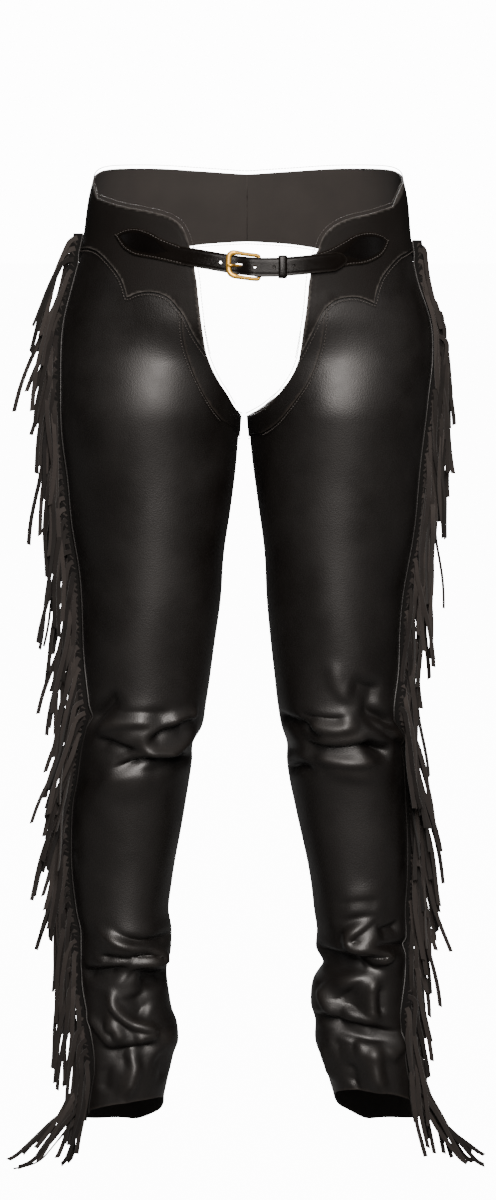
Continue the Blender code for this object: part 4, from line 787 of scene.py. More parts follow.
def grain_group():
    """Leather grain: small cells and soft wrinkles as a height, a mottled colour, and a change of gloss."""
    tree, given, result = add_group(
        "leather_grain",
        (("Cell Scale", 900.0), ("Wrinkle Scale", 170.0), ("Wrinkle Share", 0.35)),
        ("Height", "Mottle", "Roughness Shift"),
    )
    place = add_node(tree, "ShaderNodeTexCoord")
    warp = add_node(tree, "ShaderNodeTexNoise", {"noise_dimensions": "3D"}, {"Scale": 220.0, "Detail": 2.0})
    cells = add_node(tree, "ShaderNodeTexVoronoi", {"feature": "F1"}, {"Randomness": 0.9})
    wrinkles = add_node(tree, "ShaderNodeTexNoise", {}, {"Detail": 5.0, "Roughness": 0.6, "Distortion": 0.6})
    mottle = add_node(tree, "ShaderNodeTexNoise", {}, {"Scale": 16.0, "Detail": 5.0, "Roughness": 0.55})
    pushed = add_node(tree, "ShaderNodeVectorMath", {"operation": "MULTIPLY_ADD"}, {1: (0.0012,) * 3})
    hollow = add_node(tree, "ShaderNodeMapRange", {}, {"From Max": 0.75, "To Min": 1.0, "To Max": 0.0})
    blend = add_node(tree, "ShaderNodeMix", {"data_type": "FLOAT"})
    shift = add_node(
        tree, "ShaderNodeMapRange", {}, {"From Min": 0.3, "From Max": 0.7, "To Min": -0.09, "To Max": 0.11}
    )
    link_all(
        tree,
        (place, "Object", warp, "Vector"), (warp, "Color", pushed, 0), (place, "Object", pushed, 2),
        (pushed, "Vector", cells, "Vector"), (given, "Cell Scale", cells, "Scale"),
        (place, "Object", wrinkles, "Vector"), (given, "Wrinkle Scale", wrinkles, "Scale"),
        (place, "Object", mottle, "Vector"), (cells, "Distance", hollow, "Value"),
        (given, "Wrinkle Share", blend, 0), (hollow, "Result", blend, 2), (wrinkles, "Fac", blend, 3),
        (blend, 0, result, "Height"), (mottle, "Fac", result, "Mottle"), (mottle, "Fac", shift, "Value"),
        (shift, "Result", result, "Roughness Shift"),
    )
    return tree


def wear_and_highlight_group():
    """Wear along cut edges and on the crests of folds, broken up so that it isn't even. It is also painted
    highlight: the pale line where a cut edge catches the light, and sheen on fold crests.
    """
    tree, given, result = add_group("wear_and_painted_highlight", (("Edge Share", 1.0), ("Crest Share", 0.6)), ("Wear And Highlight",))
    edge = add_node(tree, "ShaderNodeAttribute", {"attribute_name": "edge"})
    crest_wear_and_highlight = add_node(tree, "ShaderNodeAttribute", {"attribute_name": "crest_wear_and_highlight"})
    place = add_node(tree, "ShaderNodeTexCoord")
    patches = add_node(tree, "ShaderNodeTexNoise", {}, {"Scale": 140.0, "Detail": 6.0, "Roughness": 0.65})
    broken = add_node(
        tree, "ShaderNodeMapRange", {}, {"From Min": 0.35, "From Max": 0.65, "To Min": 0.35, "To Max": 1.0}
    )
    edge_part = add_node(tree, "ShaderNodeMath", {"operation": "MULTIPLY"})
    crest_part = add_node(tree, "ShaderNodeMath", {"operation": "MULTIPLY"})
    both = add_node(tree, "ShaderNodeMath", {"operation": "MAXIMUM"})
    worn_and_lit = add_node(tree, "ShaderNodeMath", {"operation": "MULTIPLY", "use_clamp": True})
    link_all(
        tree,
        (place, "Object", patches, "Vector"), (patches, "Fac", broken, "Value"),
        (edge, "Fac", edge_part, 0), (given, "Edge Share", edge_part, 1),
        (crest_wear_and_highlight, "Fac", crest_part, 0), (given, "Crest Share", crest_part, 1),
        (edge_part, 0, both, 0), (crest_part, 0, both, 1), (both, 0, worn_and_lit, 0), (broken, "Result", worn_and_lit, 1),
        (worn_and_lit, 0, result, "Wear And Highlight"),
    )
    return tree


LEATHER_GRAIN = grain_group()
WEAR_AND_PAINTED_HIGHLIGHT = wear_and_highlight_group()


def leather(
    name, dark, light, worn_and_lit, roughness, coat, grain_depth,
    cells=900.0, wrinkles=0.35, wear_and_highlight=(1.0, 0.6), gloss=0.5,
):
    """Finished leather: two close shades, paler and rougher where worn, and a grain that catches light. The
    paler colour on cut edges and fold crests is wear and also painted highlight.
    """
    material, tree, shader = new_material(
        name, {"Specular IOR Level": gloss, "Coat Weight": coat, "Coat Roughness": 0.36}
    )
    grain = add_node(tree, "ShaderNodeGroup", {"node_tree": LEATHER_GRAIN})
    grain.inputs["Cell Scale"].default_value = cells
    grain.inputs["Wrinkle Share"].default_value = wrinkles
    wear_and_highlight_node = add_node(tree, "ShaderNodeGroup", {"node_tree": WEAR_AND_PAINTED_HIGHLIGHT})
    wear_and_highlight_node.inputs["Edge Share"].default_value = wear_and_highlight[0]
    wear_and_highlight_node.inputs["Crest Share"].default_value = wear_and_highlight[1]
    shades = two_shades(tree, dark, light)
    # The paler colour on cut edges and fold crests: wear, and painted highlight.
    rubbed_and_lit = add_node(tree, "ShaderNodeMix", {"data_type": "RGBA"}, {7: (*worn_and_lit, 1.0)})
    dull = add_node(tree, "ShaderNodeMath", {"operation": "MULTIPLY_ADD"}, {1: 0.1, 2: roughness})
    total = add_node(tree, "ShaderNodeMath", {"operation": "ADD", "use_clamp": True})
    bump = add_node(tree, "ShaderNodeBump", {}, {"Strength": 0.5, "Distance": grain_depth})
    link_all(
        tree,
        (grain, "Mottle", shades, 0), (wear_and_highlight_node, "Wear And Highlight", rubbed_and_lit, 0), (shades, 2, rubbed_and_lit, 6),
        (rubbed_and_lit, 2, shader, "Base Color"), (wear_and_highlight_node, "Wear And Highlight", dull, 0), (dull, 0, total, 0),
        (grain, "Roughness Shift", total, 1), (total, 0, shader, "Roughness"),
        (grain, "Height", bump, "Height"), (bump, "Normal", shader, "Normal"),
    )
    return material


leg_leather = leather(
    "leg_leather", (0.0018, 0.0012, 0.0009), (0.0034, 0.0024, 0.0018), (0.014, 0.0105, 0.008),
    0.5, 0.06, 0.0003,
    cells=700.0, wear_and_highlight=(1.0, 0.25), gloss=0.4,
)


def flesh_side():
    """The rough inner side of the leather, dyed through: a short dry nap."""
    material, tree, shader = new_material("leather_flesh_side", {"Roughness": 0.92})
    place = add_node(tree, "ShaderNodeTexCoord")
    nap = add_node(tree, "ShaderNodeTexNoise", {}, {"Scale": 1100.0, "Detail": 4.0, "Roughness": 0.7})
    cloud = add_node(tree, "ShaderNodeTexNoise", {}, {"Scale": 30.0, "Detail": 4.0})
    shade = two_shades(tree, (0.009, 0.0072, 0.0062), (0.02, 0.016, 0.0138))
    bump = add_node(tree, "ShaderNodeBump", {}, {"Strength": 0.6, "Distance": 0.0003})
    link_all(
        tree,
        (place, "Object", nap, "Vector"), (place, "Object", cloud, "Vector"), (cloud, "Fac", shade, 0),
        (shade, 2, shader, "Base Color"), (nap, "Fac", bump, "Height"), (bump, "Normal", shader, "Normal"),
    )
    return material


leather_flesh = flesh_side()

LEG_STEP = 3.5
# Heights on the leg and in the stretched pattern that the mesh is made in, so that its points
# lie closer where the knee and ankle are creased.
REAL_HEIGHTS = (-980.0, -655.0, -540.0, -430.0, 60.0)
STRETCHED_HEIGHTS = (-1090.0, -560.0, -485.0, -295.0, 60.0)


def leg_piece(side):
    pattern = leg_pattern(side, LEG_STEP)
    stretched = [
        np.stack([line[:, 0], np.interp(line[:, 1], REAL_HEIGHTS, STRETCHED_HEIGHTS)], axis=1)
        for line in pattern
    ]
    points, triangles = cut_pattern(stretched, LEG_STEP)
    points[:, 1] = np.interp(points[:, 1], STRETCHED_HEIGHTS, REAL_HEIGHTS)
    turn, height = points[:, 0] / CHART_WIDTH, points[:, 1]
    inner = leather_face(side, turn, height)
    outer = on_leather(side, turn, height, LEG_WALL)
    cut = np.min([away_from(points, outline) for outline in pattern], axis=0)
    cut[np.minimum(points[:, 0], CHART_WIDTH - points[:, 0]) < 6.0] = 9.0
    # The edge mark paints the cut edges paler and the crest mark the raised fold crests: wear, and painted
    # highlight where edges and ridges catch the light.
    lift = gather_lift(side, turn, height) + crease_lift(side, turn, height)
    marks = {"edge": smoothstep(1 - cut / 2.4), "crest_wear_and_highlight": smoothstep((lift - 1.2) / 4.0)}
    materials = [leg_leather, leather_flesh]
    return leather_sheet(f"leg_panel_{SIDE_NAMES[side]}", outer, inner, triangles, materials, marks)


legs = {side: leg_piece(side) for side in (RIGHT, LEFT)}
for side, leg in legs.items():
    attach(leg, "root")
    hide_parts(f"leg_{SIDE_NAMES[side]}")

# The thigh edgings
#
# A strip of the same leather, 1.2 mm thick, is laid along the open edge of each thigh and round to the seat.
# It is sewn through both layers, close to the open edge and along its inner line.
EDGING = 1.2
EDGING_STEP = 2.6
EDGING_LINE = {
    RIGHT: [(-66, -36), (-66, -60), (-64, -80), (-58, -104), (-50, -124), (-39, -143), (-27, -158)],
    LEFT: [(80, -36), (78, -60), (75, -84), (69, -107), (59, -126), (46, -144), (30, -162), (16, -173)],
}
SEAT_EDGING_LINE = [
    (0.66, -10), (0.685, -50), (0.735, -99), (0.8, -143), (0.87, -172), (0.94, -180), (1.0, -180)
]
EDGING_AT_CROTCH = -180.0


def edging_pattern(side, step):
    return [
        joined(
            np.array([[0.0, CROTCH_HEIGHT]]),
            front_line(side, THIGH_OPENING[side], step)[::-1],
            front_line(side, YOKE_FRONT_EDGE[side][:3], step),
            front_line(side, EDGING_LINE[side], step),
            np.array([[0.0, EDGING_AT_CROTCH]]),
        ),
        joined(back_line(SEAT_EDGE, step), back_line(SEAT_EDGING_LINE, step)[::-1]),
    ]


def edging_piece(side):
    pattern = edging_pattern(side, EDGING_STEP)
    points, triangles = cut_pattern(pattern, EDGING_STEP)
    turn, height = points[:, 0] / CHART_WIDTH, points[:, 1]
    inner = on_leather(side, turn, height, ON_LEG)
    outer = on_leather(side, turn, height, ON_LEG + EDGING)
    cut = np.min([away_from(points, outline) for outline in pattern], axis=0)
    # Paler near the cut edges: wear, and painted highlight of the edge catching the light.
    marks = {"edge": smoothstep(1 - cut / 1.8), "crest_wear_and_highlight": np.zeros(len(points))}
    return leather_sheet(
        f"thigh_edging_strip_{SIDE_NAMES[side]}", outer, inner, triangles, [leg_leather, leather_flesh], marks
    )


edgings = {side: edging_piece(side) for side in (RIGHT, LEFT)}
for side, edging in edgings.items():
    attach(edging, "root")
    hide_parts(f"thigh_edging_{SIDE_NAMES[side]}")

# The yokes
#
# A yoke of firmer, matt leather, 2 mm thick, covers each hip. It is cut with scallops below, laid over the
# top of the leg and the edging, sewn along the scallops, and its front edge is creased and sewn. The backs
# meet in a plain seam.
YOKE = 2.0
YOKE_RAMP = 12.0
ON_YOKE = ON_LEG + YOKE + GAP
YOKE_STEP = 2.4
YOKE_TOP_FRONT = {
    RIGHT: [(-58, 23), (-62, 34), (-68, 43), (-79, 50), (-98, 55), (-129, 61), (-151, 68)],
    LEFT: [(71, 16), (76, 29), (85, 39), (100, 47), (125, 53), (147, 60)],
}
YOKE_TIP_SCALLOP = {
    RIGHT: [(-42, -88), (-53, -70), (-62, -53), (-70, -42), (-80, -32), (-94, -27), (-109, -28), (-121, -33)],
    LEFT: [(54, -93), (64, -70), (73, -52), (80, -42), (90, -35), (105, -32), (117, -34), (128, -39)],
}
YOKE_HIP_SCALLOP = {
    RIGHT: [(-121, -33), (-125, -19), (-131, -8), (-141, 4), (-151, 13), (-160, 16)],
    LEFT: [(128, -39), (131, -26), (136, -13), (145, -1), (154, 8), (160, 11)],
}
YOKE_TOP_BACK = [(0.47, 84), (0.54, 92), (0.64, 97), (0.8, 98), (0.92, 95), (1.0, 92)]
YOKE_SIDE_ARC = [(0.47, 15), (0.53, 4), (0.58, -16), (0.615, -40)]
YOKE_BACK_ARC = [(0.615, -40), (0.67, -22), (0.74, -6), (0.82, 7), (0.91, 16), (1.0, 20)]
YOKE_CENTRE_BACK = (73.0, 55.0, 37.0)
YOKE_CREASE = 3.6


def yoke_edges(side, step):
    """The yoke's outline as its front edge, top, centre back and scalloped foot."""
    top_back, low_back = back_line(YOKE_TOP_BACK, step), back_line(YOKE_BACK_ARC, step)
    for line in (top_back, low_back):
        line[-1, 0] = CHART_WIDTH
    front = front_line(side, YOKE_FRONT_EDGE[side], step)
    top = joined(front_line(side, YOKE_TOP_FRONT[side], step), top_back)
    back = chart_of([1.0] * len(YOKE_CENTRE_BACK), YOKE_CENTRE_BACK)
    foot = joined(
        low_back[::-1],
        back_line(YOKE_SIDE_ARC, step)[::-1],
        front_line(side, YOKE_HIP_SCALLOP[side], step)[::-1],
        front_line(side, YOKE_TIP_SCALLOP[side], step)[::-1],
    )
    return front, top, back, foot


def yoke_lift(side, points):
    """How much further out the yoke lies where it passes over the edging."""
    lift = np.zeros(len(points))
    for lobe in edging_pattern(side, 6.0):
        away = np.where(within(points, lobe), 0.0, away_from(points, lobe))
        lift = np.maximum(lift, (EDGING + GAP) * smoothstep(1 - (away - 0.5) / YOKE_RAMP))
    return lift


def yoke_piece(side):
    front, top, back, foot = yoke_edges(side, YOKE_STEP)
    outline = joined(front, top, back, foot)
    points, triangles = cut_pattern([outline], YOKE_STEP)
    turn, height = points[:, 0] / CHART_WIDTH, points[:, 1]
    lift = yoke_lift(side, points)
    creased = np.minimum(away_from(points, front, False), away_from(points, top, False))
    groove = 0.45 * np.exp(-(((creased - YOKE_CREASE) / 1.1) ** 2))
    inner = on_leather(side, turn, height, ON_LEG + lift)
    outer = on_leather(side, turn, height, ON_LEG + lift + YOKE - groove)
    # Paler near the cut edges: wear, and painted highlight of the edge catching the light.
    marks = {"edge": smoothstep(1 - away_from(points, outline) / 2.0), "crest_wear_and_highlight": np.zeros(len(points))}
    return leather_sheet(
        f"yoke_panel_{SIDE_NAMES[side]}", outer, inner, triangles, [yoke_leather, leather_flesh], marks
    )


yoke_leather = leather(
    "yoke_leather", (0.0028, 0.0021, 0.0017), (0.005, 0.0039, 0.0032), (0.055, 0.05, 0.046),
    0.66, 0.0, 0.0003,
    cells=1050.0, wrinkles=0.2, wear_and_highlight=(1.0, 0.0), gloss=0.14,
)
yokes = {side: yoke_piece(side) for side in (RIGHT, LEFT)}
for side, yoke in yokes.items():
    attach(yoke, "root")
    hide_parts(f"yoke_{SIDE_NAMES[side]}")

# The stitching
#
# Waxed black thread, 0.7 mm thick, in stitches 2.5 mm long. Each one dips into the leather at both ends.
# THREAD is half the thread's thickness.
THREAD = 0.36
STITCH = 2.5
STITCH_PITCH = 3.3
THREAD_AROUND = 6


def thread_material():
    """Waxed thread with its twist."""
    material, tree, shader = new_material("waxed_thread", {"Roughness": 0.5})
    place = add_node(tree, "ShaderNodeTexCoord")
    twist = add_node(
        tree, "ShaderNodeTexWave", {"bands_direction": "DIAGONAL"}, {"Scale": 900.0, "Distortion": 1.5}
    )
    shade = two_shades(tree, (0.012, 0.010, 0.009), (0.05, 0.042, 0.037))
    bump = add_node(tree, "ShaderNodeBump", {}, {"Strength": 0.5, "Distance": 0.0001})
    link_all(
        tree,
        (place, "Object", twist, "Vector"), (twist, "Fac", shade, 0), (shade, 2, shader, "Base Color"),
        (twist, "Fac", bump, "Height"), (bump, "Normal", shader, "Normal"),
    )
    return material


waxed_thread = thread_material()


def inset_row(line, normals, inset):
    """A row of points and normals moved in from an edge, across the leather."""
    along = unit(np.gradient(line, axis=0))
    return line + np.cross(along, normals) * inset


def even_row(line, normals, pitch):
    """Places along a line, a pitch apart: points, ways along and normals."""
    along = np.concatenate([[0], np.cumsum(np.linalg.norm(np.diff(line, axis=0), axis=1))])
    at = np.arange(pitch / 2, along[-1], pitch)
    pick = lambda values: np.stack([np.interp(at, along, values[:, k]) for k in range(3)], axis=1)
    centre, normal = pick(line), unit(pick(normals))
    ahead = np.stack([np.interp(at + 0.5, along, line[:, k]) for k in range(3)], axis=1)
    behind = np.stack([np.interp(at - 0.5, along, line[:, k]) for k in range(3)], axis=1)
    return centre, unit(ahead - behind), normal


def sewn_rows(name, rows):
    """One piece of many stitches, each a short arched tube with its ends in the leather."""
    points, faces = [], []
    arch = ((-0.5, -0.35), (-0.36, 0.1), (-0.12, 0.3), (0.12, 0.3), (0.36, 0.1), (0.5, -0.35))
    for line, normals in rows:
        for centre, way, normal in zip(*even_row(line, normals, STITCH_PITCH)):
            side_way = np.cross(way, normal)
            first = len(points)
            for share, rise in arch:
                middle = centre + way * STITCH * share + normal * rise * THREAD * 2
                for k in range(THREAD_AROUND):
                    angle = 2 * math.pi * k / THREAD_AROUND
                    points.append(middle + THREAD * (math.cos(angle) * side_way + math.sin(angle) * normal))
            faces += tube_faces(first, len(arch), THREAD_AROUND)
    return link_mesh(name, points, faces, [waxed_thread])


def surface_row(side, line, out, inset):
    """A line of the flat pattern on the worn surface, moved in from the edge that it follows."""
    turn, height = line[:, 0] / CHART_WIDTH, line[:, 1]
    placed = on_leather(side, turn, height, out)
    normals = outward(leather_face, side, turn, height)
    return inset_row(placed, normals, inset), normals


def yoke_stitching(side):
    front, top, _, foot = yoke_edges(side, 3.0)
    rows = []
    for line, inset in ((foot, 2.6), (front, YOKE_CREASE), (top, YOKE_CREASE)):
        out = ON_LEG + yoke_lift(side, line) + YOKE - (0.35 if inset == YOKE_CREASE else 0.0)
        rows.append(surface_row(side, line, out, inset * side * -1))
    return sewn_rows(f"yoke_stitching_{SIDE_NAMES[side]}", rows)


def edging_stitching(side):
    inner = front_line(side, EDGING_LINE[side], 3.0)
    thigh, above = THIGH_OPENING[side], YOKE_FRONT_EDGE[side][:2]
    opening = joined(front_line(side, thigh, 3.0)[::-1], front_line(side, above, 3.0))
    seat, seat_line = back_line(SEAT_EDGE, 3.0), back_line(SEAT_EDGING_LINE, 3.0)
    rows = [
        surface_row(side, inner, ON_LEG + EDGING, 2.2 * side * -1),
        surface_row(side, opening, ON_LEG + EDGING, 2.6 * side * -1),
        surface_row(side, seat, ON_LEG + EDGING, 2.6 * side * -1),
        surface_row(side, seat_line[::-1], ON_LEG + EDGING, 2.2 * side * -1),
    ]
    return sewn_rows(f"edging_stitching_{SIDE_NAMES[side]}", rows)


stitching = {side: [yoke_stitching(side), edging_stitching(side)] for side in (RIGHT, LEFT)}
for rows in stitching.values():
    for row in rows:
        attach(row, "root")

# The belt
#
# The belt is two straps of smooth strap leather, 2 mm thick, each ending in a leaf that is sewn to its yoke.
# The right strap runs through the buckle and over the left one, which is turned round the buckle's bar.
STRAP = 2.0
ON_STRAP = ON_YOKE + STRAP + GAP
BELT_LINE = np.array([
    (-70, 11), (-43, 6.5), (-20, 2.5), (8, -1.2), (27, -1.4), (47, -0.2), (70, 2), (100, 5)
], float)
BELT_HALF = 9.5
BILLET_LEAF_TOP = [(-132, 31), (-123, 36), (-111, 38), (-98, 34.5), (-84, 27), (-66, 20)]
BILLET_LEAF_LOW = [(-132, 31), (-124, 18), (-113, 10.5), (-98, 7.5), (-82, 4.5), (-66, 0.6)]
BUCKLE_LEAF_TOP = [(142, 25), (133, 31.5), (121, 34), (108, 31.5), (95, 24), (80, 16), (63, 11)]
BUCKLE_LEAF_LOW = [(142, 25), (136, 12), (127, 5), (115, 1), (103, 0), (88, -3), (63, -8)]
BILLET_START = -66.0
BUCKLE_LEAF_START = 63.0
BILLET_SHOULDER = 88.0
BILLET_TIP = 99.0
BILLET_TIP_CORNER = 7.0
BILLET_TIP_ROUNDING = (6.5, -6.0)
BILLET_CLIMB = (-12.0, 6.0)
HOLES = (-26.5, 8.0, 27.0, 46.5)
HOLE_RADIUS = 1.25
PRONG_HOLE = (-12.3, -4.6)
PRONG_HOLE_HALF = 1.5
BAR_ACROSS = 12.0
FRAME_FRONT_ACROSS = -18.2
FRAME_WIRE = 1.8
FRAME_HALF = BELT_HALF + 0.5 + FRAME_WIRE
FRAME_CORNER = 6.0
FRAME_BEND = 1.5
PRONG_WIRE = 1.1
PRONG_MIDDLE = -5.0
PRONG_SHANK = (
    (5.5, -0.4, PRONG_WIRE),
    (-1.0, -0.7, 1.0),
    (-5.0, -0.4, 1.0),
    (-12.6, 3.5, 1.0),
    (-15.0, 7.1, 0.95),
    (-19.5, 7.2, 0.8),
)
TURN_START = 18.0
TURN_END = 30.0
TURN_BACK = ((BAR_ACROSS + 1, 0.0), (TURN_START - 1, 0.6), (TURN_START + 4, 1.0), (TURN_END, 1.0))
SLOT_HALF = 2.7
KEEPER_ACROSS = 35.5
KEEPER_HALF_WIDTH = 4.2
KEEPER_THICK = 1.4
KEEPER_EASE = 0.3
KEEPER_CROWN = (0.2, 0.4)
BELT_STEP = 1.15
# The creased border along the straps' edges, and the rim round the inlaid part of each leaf.
BORDER_IN = 2.3
BORDER_DEPTH = 0.3
RIM_WIDTH = 3.6
INLAY_DEPTH = 0.55
# Where each inlay begins to taper off towards the belt, and how fast.
INLAY_TAPER = {RIGHT: (92.0, 0.42), LEFT: (113.0, 0.36)}

belt_leather = leather(
    "belt_leather", (0.002, 0.0015, 0.0012), (0.0035, 0.0027, 0.0022), (0.012, 0.0098, 0.0082),
    0.25, 0.0, 0.00008,
    cells=1400.0, wrinkles=0.15, wear_and_highlight=(0.9, 0.1), gloss=0.07,
)
inlay_leather = leather(
    "inlay_leather", (0.0012, 0.0009, 0.0008), (0.002, 0.0016, 0.0014), (0.008, 0.0066, 0.0055),
    0.24, 0.0, 0.00006,
    cells=1600.0, wrinkles=0.1, wear_and_highlight=(0.0, 0.4), gloss=0.16,
)


def belt_height(across):
    return float(smooth(BELT_LINE, np.array([across]))[0, 0])


def front_pattern(points):
    """Points of the front view, across and height, as points of one flat pattern over both sides."""
    points = np.asarray(points, float)
    placed = np.zeros(points.shape)
    for side in (RIGHT, LEFT):
        chosen = points[:, 0] * side >= 0
        x, z = points[chosen, 0], points[chosen, 1]
        placed[chosen] = chart_of(turn_at(side, x, z), z) * (side, 1)
    return placed


def on_both_sides(points, out):
    """Points of that flat pattern in space, that far out of the leather's inside face."""
    placed = np.zeros((len(points), 3))
    out = np.broadcast_to(out, len(points))
    for side in (RIGHT, LEFT):
        chosen = (points[:, 0] * side >= 0) if side == LEFT else (points[:, 0] < 0)
        turn = np.abs(points[chosen, 0]) / CHART_WIDTH
        placed[chosen] = on_leather(side, turn, points[chosen, 1], out[chosen])
    return placed


def across_at(points):
    """How far across the front each point of that pattern lies."""
    turn = np.abs(points[:, 0]) / CHART_WIDTH
    found = {side: worn_form(side, turn, points[:, 1])[:, 0] for side in (RIGHT, LEFT)}
    return np.where(points[:, 0] < 0, found[RIGHT], found[LEFT])


def belt_rail(start, end, shift, step=2.0):
    """A line along the belt, that far above its centre line."""
    across = np.linspace(start, end, max(2, round(abs(end - start) / step) + 1))
    return [(x, belt_height(x) + shift) for x in across]


def billet_outline():
    tip = belt_height(BILLET_TIP)
    shoulder = belt_height(BILLET_SHOULDER)
    return front_pattern([
        *curve(BILLET_LEAF_TOP, 2.0)[:-1],
        *belt_rail(BILLET_START, BILLET_SHOULDER, BELT_HALF)[:-1],
        *curve([
            (BILLET_SHOULDER, shoulder + BELT_HALF),
            (BILLET_SHOULDER + BILLET_TIP_CORNER, tip + BILLET_TIP_ROUNDING[0]),
            (BILLET_TIP, tip),
            (BILLET_SHOULDER + BILLET_TIP_CORNER, tip + BILLET_TIP_ROUNDING[1]),
            (BILLET_SHOULDER, shoulder - BELT_HALF),
        ], 1.4)[:-1],
        *belt_rail(BILLET_SHOULDER, BILLET_START, -BELT_HALF),
        *curve(BILLET_LEAF_LOW, 2.0)[-2:0:-1],
    ])


def hole_outlines():
    """The round holes down the belt, and the longer one that the prong stands in."""
    holes = []
    for across in HOLES:
        corners = [math.pi / 9 * k for k in range(18)]
        centre = belt_height(across)
        holes.append(front_pattern([
            (across + HOLE_RADIUS * math.cos(a), centre + HOLE_RADIUS * math.sin(a)) for a in corners
        ]))
    low, high = PRONG_HOLE
    middle, centre, half = belt_height((low + high) / 2), (low + high) / 2, (high - low) / 2
    holes.append(front_pattern([
        (centre + half * math.cos(a), middle + PRONG_HOLE_HALF * math.sin(a))
        for a in (math.pi / 9 * k for k in range(18))
    ]))
    return holes


def strap_relief(side, points, outline, holes=()):
    """How far the strap's face is pressed in at each point: its creased border and its leaf's inlay.

    Also which points lie in the inlay, and how near the cut edges each is."""
    away = away_from(points, outline)
    across = np.abs(across_at(points)) * np.where(np.sign(points[:, 0]) == side, 1, -1)
    start, taper = INLAY_TAPER[side]
    needed = RIM_WIDTH + np.maximum(0, start - across) * taper
    inlay = smoothstep((away - needed) / 0.9)
    border = BORDER_DEPTH * np.exp(-(((away - BORDER_IN) / 0.65) ** 2))
    cut = np.min([away, *(away_from(points, hole) for hole in holes)], axis=0)
    return border + INLAY_DEPTH * inlay, away > needed + 0.4, inlay, cut


def billet_rise(across):
    """How much further out the right strap lies once it has passed over the buckle's bar."""
    start, end = BILLET_CLIMB
    return (ON_STRAP - ON_YOKE) * smoothstep((np.asarray(across) - start) / (end - start))


def billet_piece():
    outline, holes = billet_outline(), hole_outlines()
    points, triangles = cut_pattern([outline], BELT_STEP, holes)
    pressed, inlaid, inlay, cut = strap_relief(RIGHT, points, outline, holes)
    rise = billet_rise(across_at(points))
    outer = on_both_sides(points, ON_YOKE + STRAP + rise - pressed)
    inner = on_both_sides(points, ON_YOKE + rise)
    # The crest mark paints the slope round the inlay paler, and the edge mark the cut edges: wear, and
    # painted highlight on the raised rim and edges.
    crest_wear_and_highlight = np.exp(-(((inlay - 0.15) / 0.2) ** 2)) * (inlay > 0.01)
    marks = {"edge": smoothstep(1 - cut / 1.3), "crest_wear_and_highlight": crest_wear_and_highlight}
    kinds = np.where(inlaid[triangles].all(axis=1), 2, 0)
    materials = [belt_leather, leather_flesh, inlay_leather]
    return leather_sheet("belt_right_strap", outer, inner, triangles, materials, marks, kinds)


TURN_COLUMNS = (9.5, 8.1, 6.3, 4.5, SLOT_HALF, 0.9, -0.9, -SLOT_HALF, -4.5, -6.3, -8.1, -9.5)


def turned_end_rows():
    """Stations round the bar for the turned end of the left strap: where each lies across, and how far out,
    on the outer face and then on the inner face. The last four run back under the strap."""
    bar_out = ON_YOKE - FRAME_WIRE - GAP
    concave, convex = FRAME_WIRE + GAP, FRAME_WIRE + GAP + STRAP
    rows = [(BAR_ACROSS + 3, ON_YOKE + STRAP, BAR_ACROSS + 3, ON_YOKE)]
    rows.append((BAR_ACROSS, ON_YOKE + STRAP, BAR_ACROSS, ON_YOKE))
    for k in range(1, 10):
        angle = math.pi / 2 + math.pi * k / 10
        rows.append((
            BAR_ACROSS + convex * math.cos(angle),
            bar_out + convex * math.sin(angle),
            BAR_ACROSS + concave * math.cos(angle),
            bar_out + concave * math.sin(angle),
        ))
    for across, rise in TURN_BACK:
        face = bar_out - concave + rise * (ON_YOKE - GAP - bar_out + concave)
        rows.append((across, face - STRAP, across, face))
    return rows


def front_places(stations):
    """Points of the front view in space, from how far across, how high and how far out each is."""
    stations = np.asarray(stations, float)
    placed = np.zeros(stations.shape)
    for side in (RIGHT, LEFT):
        chosen = stations[:, 0] >= 0 if side == LEFT else stations[:, 0] < 0
        across, height, out = stations[chosen].T
        placed[chosen] = on_leather(side, turn_at(side, across, height), height, out)
    return placed


# The prong's slot runs through this many stations of the turned end.
SLOT_END = 12


